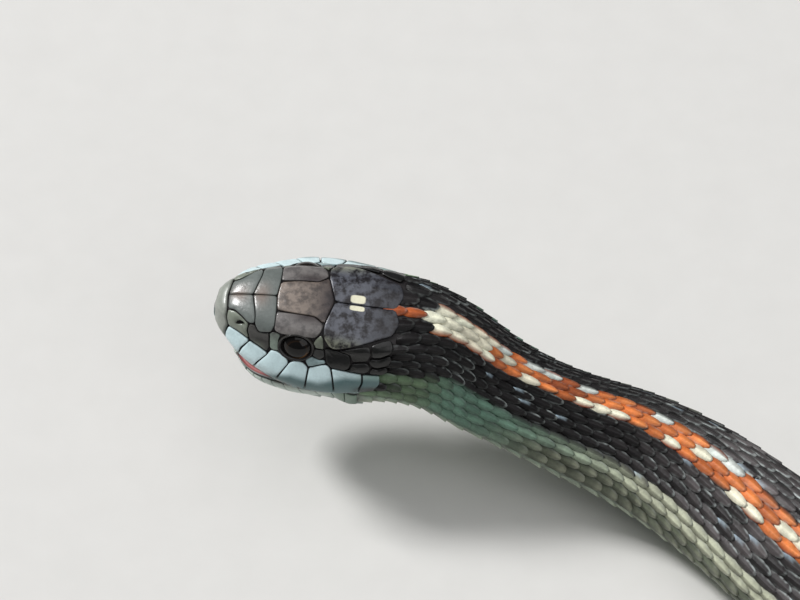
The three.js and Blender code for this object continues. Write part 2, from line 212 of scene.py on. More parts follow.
# Route
def centre_height(s):
    resting = BELLY_DROP * smooth(BODY_RADIUS, s)
    return blend(smooth(RAISED_HEIGHT, s), resting, smoothstep(*LANDING, s))


def heading(s):
    return np.radians(smooth(HEADING_DEG, s))


def pitch(s):
    rise = (centre_height(s + ROUTE_STEP) - centre_height(s - ROUTE_STEP)) / (2 * ROUTE_STEP)
    return np.arctan(rise) * (1 - smoothstep(*LANDING, s))


def ground_course():
    """Places every half millimetre along the route, and the ground points there"""
    places = np.arange(0, BODY_LENGTH + ROUTE_STEP, ROUTE_STEP)
    turn = heading(places)
    half = np.cos(pitch(places)) * ROUTE_STEP / 2
    forward = np.stack([np.cos(turn) * half, np.sin(turn) * half], -1)
    steps = np.cumsum(forward[:-1] + forward[1:], 0)
    ground = np.array(SNOUT_START) - np.array(BOX_CENTRE) + np.vstack([[0, 0], steps])
    return places, ground


PLACES, GROUND = ground_course()


def frames(s):
    """Place on the route with its directions back to the tail, to the animal's left, and up"""
    held = np.clip(s, 0, BODY_LENGTH)
    turn, slope = heading(held), pitch(held)
    flat = [np.interp(held, PLACES, GROUND[:, axis]) for axis in (0, 1)]
    origin = np.stack([*flat, centre_height(held)], -1)
    back = np.stack([np.cos(turn) * np.cos(slope), np.sin(turn) * np.cos(slope), np.sin(slope)], -1)
    level = np.stack(
        [-np.cos(turn) * np.sin(slope), -np.sin(turn) * np.sin(slope), np.cos(slope)], -1)
    roll = np.radians(smooth(ROLL_DEG, held))[..., None]
    up = level * np.cos(roll) + np.cross(back, level) * np.sin(roll)
    origin = origin + back * (s - held)[..., None]
    return origin, back, np.cross(back, up), up


def placed(axes, across, height):
    origin, _, left, up = axes
    return origin + left * across[..., None] + up * height[..., None]


# Lower jaw, which swings down about the corner of the mouth
def jaw_course():
    places = np.linspace(0, JAW_LENGTH + 1, 400)
    angle = np.radians(GAPE_DEG) * smoothstep(0, GAPE_BEND, places)
    step = places[1] - places[0]
    forward = np.cumsum(np.cos(angle)) * step - step
    drop = np.cumsum(np.sin(angle)) * step
    return places, forward, drop


JAW_PLACES, JAW_FORWARD, JAW_DROP = jaw_course()
HINGE = [axis[0] for axis in frames(np.array([MOUTH_CORNER]))]


def jaw_frames(forward):
    origin, back, left, up = HINGE
    angle = (np.radians(GAPE_DEG) * smoothstep(0, GAPE_BEND, forward))[..., None]
    reach = np.interp(forward, JAW_PLACES, JAW_FORWARD)[..., None]
    drop = np.interp(forward, JAW_PLACES, JAW_DROP)[..., None]
    behind = np.minimum(forward, 0)[..., None]
    place = origin - back * (reach + behind) - up * drop
    raised = up * np.cos(angle) - back * np.sin(angle)
    return place, back, np.broadcast_to(left, place.shape), raised


# Cross-sections. Around runs from 0 at the midline of the back, through 1 at the widest level
# or lip, to 2 at the midline of the belly, and is negative on the animal's right.
def body_section(s, turn):
    radius = smooth(BODY_RADIUS, s)
    angle = turn * np.pi / 2
    drop = np.minimum(1, BELLY_CLIP * np.abs(np.cos(angle)) ** BELLY_POWER)
    height = np.where(turn <= 1, BACK_RISE * np.cos(angle), -BELLY_DROP * drop)
    return np.array([radius * np.sin(angle), radius * height])


def head_profile(s):
    lip = smooth(LIP_HALF_WIDTH, s)
    edge = smooth(CROWN_HALF_WIDTH, s)
    low = smooth(LIP_HEIGHT, s)
    rise = smooth(CROWN_HEIGHT, s) - low
    crown = [(edge * out, low + rise * up) for out, up in CROWN_PROFILE]
    return crown + [(edge + (lip - edge) * out, low + rise * up) for out, up in SIDE_PROFILE]


def throat_profile(s):
    lip = smooth(LIP_HALF_WIDTH, s)
    depth = smooth(THROAT_DEPTH, s)
    return [(lip, smooth(LIP_HEIGHT, s))] + [(lip * out, -depth * down) for out, down in THROAT_PROFILE]


def full_section(s, turn):
    crown = along(head_profile(s), np.minimum(turn, 1))
    throat = along(throat_profile(s), np.maximum(turn - 1, 0))
    return blend(np.where(turn <= 1, crown, throat), body_section(s, turn), smoothstep(*HEAD_TO_NECK, s))


def jaw_section(forward, turn):
    width = smooth(JAW_HALF_WIDTH, forward)
    depth = smooth(JAW_DEPTH, forward)
    jaw = along([(width * out, -depth * down) for out, down in JAW_OUTSIDE], turn - 1)
    throat = along(throat_profile(np.full_like(forward, MOUTH_CORNER)), turn - 1)
    return blend(throat, jaw, smoothstep(0, THROAT_TO_JAW, forward))


def round_end(section, past, reach, middle):
    """Draws a section in to a point as it goes past the end of a tube"""
    share = np.sqrt(np.clip(1 - (past / reach) ** 2, 0, 1))
    return np.array([section[0] * share, blend(middle, section[1], share)])


def outer(s, around, lower=False):
    """Points of the outer skin. Ahead of the corner of the mouth the lower half is the jaw."""
    s, around = np.broadcast_arrays(np.asarray(s, float), np.asarray(around, float))
    around = (around + 2) % 4 - 2
    side = np.where(around < 0, -1, 1)
    turn = np.abs(around)
    section = full_section(np.maximum(s, 0), turn)
    section = round_end(section, np.minimum(s, 0), SNOUT_TIP, SNOUT_MIDDLE)
    section = round_end(section, np.maximum(s - TAIL_START, 0), TAIL_TIP, 0)
    head = placed(frames(s), side * section[0], section[1])
    on_jaw = ((turn > 1) | lower) & (s < MOUTH_CORNER)
    if not on_jaw.any():
        return head
    forward = np.maximum(MOUTH_CORNER - s, 0)
    section = jaw_section(np.minimum(forward, JAW_LENGTH), np.maximum(turn, 1))
    section = round_end(section, np.maximum(forward - JAW_LENGTH, 0), JAW_TIP, JAW_MIDDLE)
    jaw = placed(jaw_frames(forward), side * section[0], section[1])
    return np.where(on_jaw[..., None], jaw, head)


# Steps along and around over which the surface's direction is taken
NORMAL_STEPS = (0.06, 0.008)


def outward(s, around, lower=False):
    """Directions straight out of the outer skin"""
    s, around = np.broadcast_arrays(np.asarray(s, float), np.asarray(around, float))
    step, turn_step = NORMAL_STEPS
    lowest, highest = (1, 3) if lower else (-1, 1)
    if lower:
        around = around % 4
    ahead = s < MOUTH_CORNER
    before = np.where(ahead, np.clip(around - turn_step, lowest, highest), around - turn_step)
    after = np.where(ahead, np.clip(around + turn_step, lowest, highest), around + turn_step)
    across = outer(s, after, lower) - outer(s, before, lower)
    back = outer(s + step, around, lower) - outer(s - step, around, lower)
    normal = np.cross(across, back)
    return normal / np.maximum(np.linalg.norm(normal, axis=-1, keepdims=True), TINY)


# Swellings and hollows of the head: place behind the snout, around, reach of both, height
HEAD_RELIEF = [
    (7.9, 0.25, 2.3, 0.06, 0.06),
    (4.8, 0.47, 1.1, 0.09, -0.16),
    (12.6, 0.56, 2.6, 0.14, 0.16),
    (10.4, 0.46, 0.9, 0.09, -0.1),
    (2.65, 0.33, 0.34, 0.045, -0.42),
    (7.85, 0.42, 1.15, 0.1, -0.3),
    (7.5, 0.83, 5.5, 0.1, 0.13),
]
RELIEF_FADE = 0.04


def relief(s, around, lower):
    total = np.zeros(np.broadcast_shapes(np.shape(s), np.shape(around)))
    if lower:
        return total
    turn = np.abs(around)
    for place, middle, reach, spread, height in HEAD_RELIEF:
        total = total + height * hump((s - place) / reach, (turn - middle) / spread)
    return total * np.minimum(1, np.abs(turn - 1) / RELIEF_FADE)


def surface(s, around, rise=0.0, lower=False):
    """Points of the surface that the scales lie on, raised along its outward direction"""
    lift = rise + relief(s, around, lower)
    return outer(s, around, lower) + outward(s, around, lower) * np.asarray(lift)[..., None]


# Inside of the mouth, across running from -1 at the right lip to 1 at the left
GULLET_POWER = 2.5
GULLET_SAG = 0.5
GULLET_NARROWING = 0.04
PLEAT_HEIGHT = 0.09
PLEAT_PITCH = 1.2
# Distances in from the lip over which its edge, and the ridges of the roof and floor, come in
LIP_EDGE_WIDTH = 0.12
ROOF_RIM = 0.5
FLOOR_RIM = 0.3
# Stretches over which the palate rises, as shares of the lip's roll, and its ridges start
DOME_SHARE = (0.3, 1)
ROOF_RIDGES_START = (1.5, 4)
# Ridges of the gums: distance in from the lip, width and height
ROOF_GUMS = [(1.5, 0.35, 0.28), (3.1, 0.4, 0.2)]
FLOOR_GUM = (0.75, 0.3, 0.3)
ROOF_SEAM_WIDTH = 0.3
ROOF_SEAM_DEPTH = 0.15
# Knob in the roof and opening of the windpipe: place, length, width and height
ROOF_KNOB = (6.3, 0.9, 0.4, 0.4)
WINDPIPE_MOUTH = (4.9, 0.6, 0.25, 0.6)
WINDPIPE_WIDTH = 0.75
WINDPIPE_HEIGHT = 0.85
WINDPIPE_ENDS = ((3.4, 4.6), (8.5, 12))


def gullet(across):
    """Deepest line of the mouth, where its roof and floor meet"""
    depth = GULLET_DEPTH * (1 - np.abs(across) ** GULLET_POWER)
    corner = full_section(np.full_like(across, MOUTH_CORNER), np.ones_like(across))
    height = corner[1] - GULLET_SAG * (1 - across ** 2)
    width = corner[0] * across * (1 - GULLET_NARROWING * depth)
    return placed(frames(MOUTH_CORNER + depth), width, height)


def to_gullet(points, s, across):
    start = GULLET_START + (MOUTH_CORNER - GULLET_START) * np.abs(across) ** 8
    share = smoothstep(start, MOUTH_CORNER + TINY, s)
    share = np.where(s >= MOUTH_CORNER - TINY, 1, np.where(np.abs(across) > 1 - TINY, 0, share))
    return blend(points, gullet(across), share[..., None])


def pleats(out, s, edge):
    """Low folds that run along the mouth's lining, away from its edge and its middle"""
    fold = PLEAT_HEIGHT * np.cos(2 * np.pi * out / PLEAT_PITCH)
    return fold * smoothstep(1, 2, edge) * smoothstep(2, 4, s)


def gum_ridge(edge, gum):
    place, width, height = gum
    return height * hump((edge - place) / width)


def knob(s, out, shape):
    place, length, width, height = shape
    return height * hump((s - place) / length, out / width)


def mouth_roof(s, across):
    held = np.maximum(s, 0)
    lip = smooth(LIP_HALF_WIDTH, held)
    low = smooth(LIP_HEIGHT, held)
    out = lip * across
    edge = lip * (1 - np.abs(across))
    rise = np.minimum(PALATE_RISE, PALATE_SHARE * (smooth(CROWN_HEIGHT, held) - low))
    dome = smoothstep(*DOME_SHARE, edge / (2 * LIP_ROLL)) * (1 - PALATE_ARCH * across ** 2)
    ridges = sum(gum_ridge(edge, gum) for gum in ROOF_GUMS)
    ridges = ridges + ROOF_SEAM_DEPTH * hump(out / ROOF_SEAM_WIDTH)
    height = low - LIP_EDGE * np.minimum(1, edge / LIP_EDGE_WIDTH) + (rise + LIP_EDGE) * dome
    height = height - ridges * smoothstep(*ROOF_RIDGES_START, s) * np.minimum(1, edge / ROOF_RIM)
    height = height + knob(s, out, ROOF_KNOB) + pleats(out, s, edge)
    section = round_end(np.array([out, height]), np.minimum(s, 0), SNOUT_TIP, SNOUT_MIDDLE)
    return to_gullet(placed(frames(s), section[0], section[1]), s, across)


def mouth_floor(s, across):
    forward = MOUTH_CORNER - s
    held = np.clip(forward, 0, JAW_LENGTH)
    rim = jaw_section(held, np.ones_like(held))
    drop = np.minimum(JAW_FLOOR_DROP, JAW_FLOOR_SHARE * smooth(JAW_DEPTH, held))
    lip_share = JAW_INSIDE[-1][0]
    inside = along([(out / lip_share, -drop * down) for out, down in JAW_INSIDE], np.abs(across))
    edge = rim[0] * (1 - inside[0])
    gum = gum_ridge(edge, FLOOR_GUM) * np.minimum(1, edge / FLOOR_RIM)
    out = np.sign(across) * rim[0] * inside[0]
    windpipe = WINDPIPE_HEIGHT * hump(out / WINDPIPE_WIDTH) * within(*WINDPIPE_ENDS, s)
    height = rim[1] + inside[1] + gum * smoothstep(1, 3, held) + windpipe
    height = height - knob(s, out, WINDPIPE_MOUTH) + pleats(out, s, edge)
    section = np.array([out, height])
    section = round_end(section, np.maximum(forward - JAW_LENGTH, 0), JAW_TIP, JAW_MIDDLE)
    return to_gullet(placed(jaw_frames(forward), section[0], section[1]), s, across)


# Pieces are gathered from patches, each a flat grid that is laid on a surface
def grid_form(rows, columns, size):
    form = bmesh.new()
    bmesh.ops.create_grid(form, x_segments=rows, y_segments=columns, size=size)
    form.verts.index_update()
    return form


def read_form(form):
    """Places of the corners of a form, and its faces"""
    places = np.array([vert.co for vert in form.verts])
    return places, np.array([[vert.index for vert in face.verts] for face in form.faces])


def flat_grid(rows, columns):
    """Places from 0 to 1 both ways, and the faces, of a flat grid"""
    form = grid_form(rows, columns, 0.5)
    places, faces = read_form(form)
    form.free()
    return places[:, :2] + 0.5, faces


def closed_grid(rows, columns):
    """A flat grid and a copy under it with the same border: places from 0 to 1 both ways, which of
    them lie under it, and the faces"""
    form = grid_form(rows, columns, 0.5)
    copied = bmesh.ops.duplicate(form, geom=form.faces[:])["geom"]
    lower = [item for item in copied if isinstance(item, bmesh.types.BMFace)]
    bmesh.ops.reverse_faces(form, faces=lower)
    for vert in {vert for face in lower for vert in face.verts}:
        if max(abs(vert.co.x), abs(vert.co.y)) < NEAR_BORDER / 2:
            vert.co.z = -1
    bmesh.ops.remove_doubles(form, verts=form.verts, dist=WELD)
    form.verts.index_update()
    spots, faces = read_form(form)
    form.free()
    return spots[:, :2] + 0.5, spots[:, 2] < -0.5, faces


def in_scene(name, data):
    made = bpy.data.objects.new(name, data)
    bpy.context.scene.collection.objects.link(made)
    return made


def place_of(s, around):
    """Places on the unrolled animal, for the Place attribute"""
    return np.stack([s, around * AROUND_MM, 0 * s], -1)


# The unwrap lays the animal out flat, in strips along the body that are stacked
MAP_MARGIN = 0.02
WIDEST_TURN = 2.1


class Unwrap:
    """Places on the unwrap of one piece, which reaches from one place behind the snout to another"""

    def __init__(self, first, last, strips):
        self.first, self.length, self.strips = first, (last - first) / strips, strips

    def flat(self, s, around, band=(0.0, 1.0)):
        """The band is the part of each strip that is used"""
        past = s - self.first
        strip = np.clip(np.floor(past / self.length), 0, self.strips - 1)
        across = blend(*band, (around + WIDEST_TURN) / (2 * WIDEST_TURN))
        forward = (past / self.length - strip) * (1 - 2 * MAP_MARGIN) + MAP_MARGIN
        return np.stack([forward, (strip + across) / self.strips], -1)


class Coat:
    """Patches of one piece, each with its faces, unwrap and tint, and two sets of places: on the
    animal, and within its own scale"""

    def __init__(self, first, last, strips):
        self.unwrap = Unwrap(first, last, strips)
        self.points, self.tints, self.places, self.locals = [], [], [], []
        self.corners, self.sizes, self.flats, self.slots = [], [], [], []
        self.count = 0

    def add(self, points, faces, flat, tint, place, local=(0, 0, 0), slot=0):
        """faces are rows of corner numbers, and flat has a pair for each corner of each face"""
        shape = points.shape
        for gathered, values in ((self.tints, tint), (self.places, place), (self.locals, local)):
            gathered.append(np.broadcast_to(values, shape).reshape(-1, 3))
        self.points.append(points.reshape(-1, 3))
        first = self.count
        self.count += len(self.points[-1])
        self.more_faces(first, faces, flat, slot)
        return first

    def more_faces(self, first, faces, flat, slot=0):
        """Faces of any size over points that were added before, counted from first"""
        self.corners.append(faces.ravel() + first)
        self.sizes.append(np.full(len(faces), faces.shape[1]))
        self.flats.append(flat.reshape(-1, 2))
        self.slots.append(np.full(len(faces), slot))

    def build(self, name, materials, welded=True):
        points = np.concatenate(self.points) * MM
        corners, sizes = np.concatenate(self.corners), np.concatenate(self.sizes)
        mesh = bpy.data.meshes.new(name)
        mesh.vertices.add(len(points))
        mesh.vertices.foreach_set("co", points.ravel())
        mesh.loops.add(len(corners))
        mesh.loops.foreach_set("vertex_index", corners)
        mesh.polygons.add(len(sizes))
        mesh.polygons.foreach_set("loop_start", np.cumsum(sizes) - sizes)
        mesh.update(calc_edges=True)
        mesh.uv_layers.new(name="OFBake").uv.foreach_set("vector", np.concatenate(self.flats).ravel())
        tint = np.column_stack([np.concatenate(self.tints), np.ones(len(points))])
        mesh.attributes.new("Tint", "FLOAT_COLOR", "POINT").data.foreach_set("color", tint.ravel())
        for title, values in (("Place", self.places), ("Local", self.locals)):
            layer = mesh.attributes.new(title, "FLOAT_VECTOR", "POINT")
            layer.data.foreach_set("vector", np.concatenate(values).ravel())
        mesh.polygons.foreach_set("material_index", np.concatenate(self.slots))
        mesh.polygons.foreach_set("use_smooth", np.ones(len(sizes), bool))
        form = bmesh.new()
        form.from_mesh(mesh)
        if welded:
            bmesh.ops.remove_doubles(form, verts=form.verts, dist=WELD)
        bmesh.ops.recalc_face_normals(form, faces=form.faces)
        form.to_mesh(mesh)
        form.free()
        for material in materials:
            mesh.materials.append(material)
        return in_scene(name, mesh)


# Materials
def give(tree, socket, value):
    """Links a socket to an input, or sets the input to a number or colour"""
    if isinstance(value, bpy.types.NodeSocket):
        tree.links.new(value, socket)
    else:
        socket.default_value = value


def node(tree, kind, inputs, **settings):
    made = tree.nodes.new("ShaderNode" + kind)
    for name, value in settings.items():
        setattr(made, name, value)
    for name, value in inputs.items():
        give(tree, made.inputs[name], value)
    return made


def maths(tree, operation, *values):
    """Number socket of a sum on one to three numbers"""
    return node(tree, "Math", dict(enumerate(values)), operation=operation).outputs[0]


def vector_maths(tree, operation, *values):
    """Socket of a sum on one or two vectors"""
    made = node(tree, "VectorMath", dict(enumerate(values)), operation=operation)
    return made.outputs["Value" if operation in ("LENGTH", "DOT_PRODUCT") else "Vector"]


def ranged(tree, value, start, end, low=0.0, high=1.0):
    """Number socket that runs from low to high as the value runs from start to end"""
    inputs = {"Value": value, "From Min": start, "From Max": end, "To Min": low, "To Max": high}
    return node(tree, "MapRange", inputs).outputs["Result"]


def noise(tree, place, scale, detail, roughness=0.5):
    inputs = {"Vector": place, "Scale": scale, "Detail": detail, "Roughness": roughness}
    return node(tree, "TexNoise", inputs).outputs["Fac"]


def object_place(tree):
    return node(tree, "TexCoord", {}).outputs["Object"]


def attribute(tree, name, output="Vector"):
    return node(tree, "Attribute", {}, attribute_name=name).outputs[output]


def apart(tree, vector):
    """Sockets of the three numbers of a vector"""
    return node(tree, "SeparateXYZ", {"Vector": vector}).outputs


def mix_colour(tree, share, a, b):
    """Colour socket of a mix of two colours"""
    made = node(tree, "Mix", {}, data_type="RGBA")
    values = {"Factor_Float": share, "A_Color": a, "B_Color": b}
    for socket in made.inputs:
        if socket.identifier in values:
            give(tree, socket, values[socket.identifier])
    return next(socket for socket in made.outputs if socket.identifier == "Result_Color")


NUMBER, COLOUR, VECTOR = "NodeSocketFloat", "NodeSocketColor", "NodeSocketVector"


def new_group(name, inputs, result, kind, work_out):
    """A group with named inputs and one result, which a function works out inside it"""
    group = bpy.data.node_groups.new(name, "ShaderNodeTree")
    for title, input_kind in inputs.items():
        group.interface.new_socket(title, in_out="INPUT", socket_type=input_kind)
    group.interface.new_socket(result, in_out="OUTPUT", socket_type=kind)
    given = group.nodes.new("NodeGroupInput").outputs
    made = group.nodes.new("NodeGroupOutput")
    group.links.new(work_out(group, given), made.inputs[result])
    return group


def mottled(group, given):
    """Soft dark patches with a finer grain over them"""
    place = object_place(group)
    patches = noise(group, place, given["Patch Scale"], 5.0, 0.62)
    share = maths(group, "MULTIPLY", ranged(group, patches, 0.43, 0.6), given["Dark Share"])
    darker = mix_colour(group, share, given["Color"], given["Dark"])
    swing = maths(group, "SUBTRACT", noise(group, place, 4200.0, 3.0, 0.6), 0.5)
    bright = maths(group, "MULTIPLY_ADD", swing, given["Depth"], 1.0)
    return node(group, "VectorMath", {0: darker, "Scale": bright}, operation="SCALE").outputs["Vector"]


def oval_spot(group, given):
    """Oval spot with a soft edge on the unrolled animal"""
    moved = vector_maths(group, "SUBTRACT", given["Place"], given["Centre"])
    shared = vector_maths(group, "DIVIDE", moved, given["Reach"])
    squared = vector_maths(group, "MULTIPLY", shared, shared)
    return ranged(group, vector_maths(group, "LENGTH", squared), 0.8, 1.15, 1.0, 0.0)


def streaked(group, given):
    """Height of fine streaks that run along a scale"""
    stretched = vector_maths(group, "MULTIPLY", given["Local"], (0.7, 7.0, 40.0))
    return noise(group, stretched, 1.6, 2.0)


def rim_glint_line(group, given):
    """Broken pale line along the free edges of a scale, as strong as its third place: partly the scales'
    own pale edges, mostly painted highlight, stronger on the upper side where the light catches
    """
    x, y, strength = apart(group, given["Local"])
    sides = ranged(group, maths(group, "ABSOLUTE", y), 0.52, 0.84)
    edges = maths(group, "MULTIPLY", sides, ranged(group, x, -0.8, 0.2))
    both = maths(group, "MAXIMUM", edges, ranged(group, x, 0.7, 0.94))
    upper = maths(group, "MULTIPLY", both, ranged(group, y, -0.7, 0.7, 1.0, 0.4))
    broken = ranged(group, noise(group, object_place(group), 1500.0, 2.0), 0.38, 0.58)
    return maths(group, "MULTIPLY", upper, maths(group, "MULTIPLY", broken, strength))


MOTTLE = new_group(
    "Mottle",
    {"Color": COLOUR, "Patch Scale": NUMBER, "Depth": NUMBER, "Dark": COLOUR, "Dark Share": NUMBER},
    "Color", COLOUR, mottled)
OVAL_SPOT = new_group(
    "Oval spot", {"Place": VECTOR, "Centre": VECTOR, "Reach": VECTOR}, "Mask", NUMBER, oval_spot)
STREAKS = new_group("Scale streaks", {"Local": VECTOR}, "Height", NUMBER, streaked)
RIM_GLINT = new_group("Scale rim glint", {"Local": VECTOR}, "Mask", NUMBER, rim_glint_line)


def new_material(name):
    material = bpy.data.materials.new(name)
    material.use_nodes = True
    tree = material.node_tree
    tree.nodes.clear()
    shader = tree.nodes.new("ShaderNodeBsdfPrincipled")
    output = tree.nodes.new("ShaderNodeOutputMaterial")
    tree.links.new(shader.outputs["BSDF"], output.inputs["Surface"])
    return material, tree, shader


# Height of the fine relief in metres, and how far the roughness swings below and above its middle
RELIEF_HEIGHT = 0.00008
ROUGHNESS_SWING = (-0.07, 0.09)
WRINKLE_DEPTH = 5.0
COAT_ROUGHNESS = 0.12


def coat_material(name, roughness, patch_scale, depth, dark, dark_share, bump, bump_scale,
                  coat=0.0, specular=0.5, streaks=False, spots=(), marbled=False):
    """Skin or scales that take their tint from the piece, with soft patches, grain and fine relief"""
    material, tree, shader = new_material(name)
    local = attribute(tree, "Local")
    if marbled:
        dark_share = maths(tree, "MULTIPLY", apart(tree, local)["X"], dark_share)
    painted = node(tree, "Group", {
        "Color": attribute(tree, "Tint", "Color"), "Patch Scale": patch_scale, "Depth": depth,
        "Dark": (*dark, 1), "Dark Share": dark_share}, node_tree=MOTTLE).outputs["Color"]
    place = attribute(tree, "Place")
    for centre, reach, shade in spots:
        given = {"Place": place, "Centre": centre, "Reach": reach}
        spot = node(tree, "Group", given, node_tree=OVAL_SPOT)
        painted = mix_colour(tree, spot.outputs["Mask"], painted, (*shade, 1))
    if streaks:
        # Painted highlight along the free edges of the scales
        rim = node(tree, "Group", {"Local": local}, node_tree=RIM_GLINT)
        painted = mix_colour(tree, rim.outputs["Mask"], painted, (*RIM_GLINT_PALE, 1))
    tree.links.new(painted, shader.inputs["Base Color"])
    spot = object_place(tree)
    fine = noise(tree, spot, bump_scale, 4.0, 0.55)
    height = fine
    if marbled:
        wrinkles = maths(tree, "MULTIPLY", noise(tree, spot, patch_scale, 3.0), dark_share)
        height = maths(tree, "MULTIPLY_ADD", wrinkles, WRINKLE_DEPTH, height)
    if streaks:
        lines = node(tree, "Group", {"Local": local}, node_tree=STREAKS)
        height = maths(tree, "ADD", height, lines.outputs["Height"])
    raised = node(tree, "Bump", {"Height": height, "Strength": bump, "Distance": RELIEF_HEIGHT})
    tree.links.new(raised.outputs["Normal"], shader.inputs["Normal"])
    least, most = [roughness + swing for swing in ROUGHNESS_SWING]
    tree.links.new(ranged(tree, fine, 0.0, 1.0, least, most), shader.inputs["Roughness"])
    shader.inputs["Specular IOR Level"].default_value = specular
    shader.inputs["Coat Weight"].default_value = coat
    shader.inputs["Coat Roughness"].default_value = COAT_ROUGHNESS
    return material


CREAM = colour(226, 222, 196)
NEAR_BLACK = colour(20, 17, 19)
# Colour of the painted highlight along the scales' rims
RIM_GLINT_PALE = colour(186, 194, 192)
SPOTS = [
    ((12.42, -0.22, 0.0), (0.6, 0.16, 10.0), CREAM),
    ((12.42, 0.15, 0.0), (0.6, 0.1, 10.0), CREAM),
]
SKIN = coat_material("skin_between_scales", 0.55, 900.0, 0.5, NEAR_BLACK, 0.5, 0.5, 2600.0,
                     specular=0.3)
SCALES = coat_material("body_scales", 0.4, 700.0, 0.4, NEAR_BLACK, 0.28, 0.4, 5200.0,
                       specular=0.22, streaks=True)
SHIELDS = coat_material("head_shields", 0.32, 1250.0, 0.3, colour(26, 23, 27), 1.0, 0.3, 3800.0,
                        coat=0.2, specular=0.35, spots=SPOTS, marbled=True)
LIPS = coat_material("lip_shields", 0.34, 700.0, 0.2, colour(96, 118, 120), 0.2, 0.25, 3800.0,
                     coat=0.15)
BELLY = coat_material("belly_scutes", 0.36, 420.0, 0.2, colour(92, 104, 92), 0.4, 0.3, 3000.0,
                      coat=0.1)
LINING = coat_material("mouth_lining", 0.3, 500.0, 0.2, colour(110, 40, 42), 0.4, 0.15, 1500.0,
                       coat=0.4)

# Tints
BLACK_SKIN = colour(30, 26, 27)
PALE_SKIN = colour(140, 150, 138)
LIP_PALE = colour(150, 170, 168)
TAIL_HORN = colour(126, 96, 72)
MOUTH_PINK = colour(158, 92, 90)
# Painted shade deep in the mouth
MOUTH_DEEP_SHADE = colour(84, 28, 30)


def skin_tint(s, around):
    """Colour of the skin between the scales"""
    turn = np.abs((around + 2) % 4 - 2)
    pale = smoothstep(1.0, 1.2, turn)
    lip = smoothstep(0.93, 0.975, turn) * (s < MOUTH_CORNER + 1) * (turn <= 1)
    base = blend(BLACK_SKIN, PALE_SKIN * 0.8, pale[..., None])
    horn = smoothstep(LAST_SCALE - 1, LAST_SCALE, s)
    return blend(blend(base, LIP_PALE, lip[..., None]), TAIL_HORN, horn[..., None])


# Skin: one closed surface from the snout over the jaws to the tail tip
LAST_SCALE = 528
AROUND_FACES = 96
LINING_FACES = 72
HEAD_ROWS = 56
JAW_ROWS = 52
NECK_ROWS = 70
BODY_ROWS = 330
END_ROWS = 5
NECK_END = 60
# Parts of the unwrap's first strip for the head's skin and for the lining of the mouth
CROWN_BAND = (0.26, 0.74)
JAW_BAND = (0.12, 0.82)
ROOF_BAND = (-0.06, 0.24)
FLOOR_BAND = (0.1, 0.4)


def skin_depth(s, around):
    """The skin's depth under the scales, which fades out at the lips"""
    turn = np.abs((around + 2) % 4 - 2)
    near_lip = 1 - smoothstep(0, 0.14, np.abs(turn - 1))
    return SKIN_DEPTH * (1 - near_lip * (1 - smoothstep(MOUTH_CORNER, MOUTH_CORNER + 1.5, s)))


def lay(coat, rows, columns, point_at, tint_at, band, slot=0):
    """A patch whose rows lie at the given places along, and columns at those across"""
    places, faces = flat_grid(len(rows) - 1, len(columns) - 1)
    s = np.interp(places[:, 0], np.linspace(0, 1, len(rows)), rows)
    across = np.interp(places[:, 1], np.linspace(0, 1, len(columns)), columns)
    flat = coat.unwrap.flat(s, across, band)
    tint = tint_at(s, across)
    coat.add(point_at(s, across), faces, flat[faces], tint, place_of(s, across), slot=slot)


def skin_at(s, around, lower=False):
    return surface(s, around, -skin_depth(s, around), lower)


def lining_tint(s, across):
    """Pink, with painted shade darkening it toward the gullet and into the windpipe's opening, and pale
    at the lip
    """
    deep = smoothstep(7, MOUTH_CORNER, s)
    hollow = hump((s - WINDPIPE_MOUTH[0]) / 0.65, across / 0.05)
    lip = np.maximum(smoothstep(0.86, 0.95, np.abs(across)), 1 - smoothstep(0.5, 1.2, s))[..., None]
    lining = blend(MOUTH_PINK, MOUTH_DEEP_SHADE, np.maximum(deep, hollow)[..., None])
    return blend(lining, LIP_PALE, lip * 0.65)


def skin_piece():
    coat = Coat(-1, BODY_LENGTH + 1, 4)
    half = AROUND_FACES // 2
    tip = np.cos(np.linspace(0, np.pi / 2, END_ROWS))[:-1]
    jaw_start = MOUTH_CORNER - JAW_LENGTH
    head_rows = np.concatenate([-SNOUT_TIP * tip, np.linspace(0, MOUTH_CORNER, HEAD_ROWS)])
    jaw_rows = np.concatenate(
        [jaw_start - JAW_TIP * tip, np.linspace(jaw_start, MOUTH_CORNER, JAW_ROWS)])
    inside = np.sin(np.linspace(-np.pi / 2, np.pi / 2, LINING_FACES + 1))
    lay(coat, head_rows, np.linspace(-1, 1, half + 1), skin_at, skin_tint, CROWN_BAND)
    lay(coat, jaw_rows, np.linspace(1, 3, half + 1), lambda s, turn: skin_at(s, turn, True),
        skin_tint, JAW_BAND)
    lay(coat, head_rows, inside, mouth_roof, lining_tint, ROOF_BAND, 1)
    lay(coat, jaw_rows, inside, mouth_floor, lining_tint, FLOOR_BAND, 1)
    neck = np.linspace(MOUTH_CORNER, NECK_END, NECK_ROWS)
    body = np.linspace(NECK_END, TAIL_START, BODY_ROWS)
    tail = TAIL_START + TAIL_TIP * np.sin(np.linspace(0, np.pi / 2, END_ROWS))
    rows = np.concatenate([neck, body[1:], tail[1:]])
    lay(coat, rows, np.linspace(-2, 2, AROUND_FACES + 1), skin_at, skin_tint, (0.0, 1.0))
    return coat.build("skin", [SKIN, LINING])


skin = skin_piece()

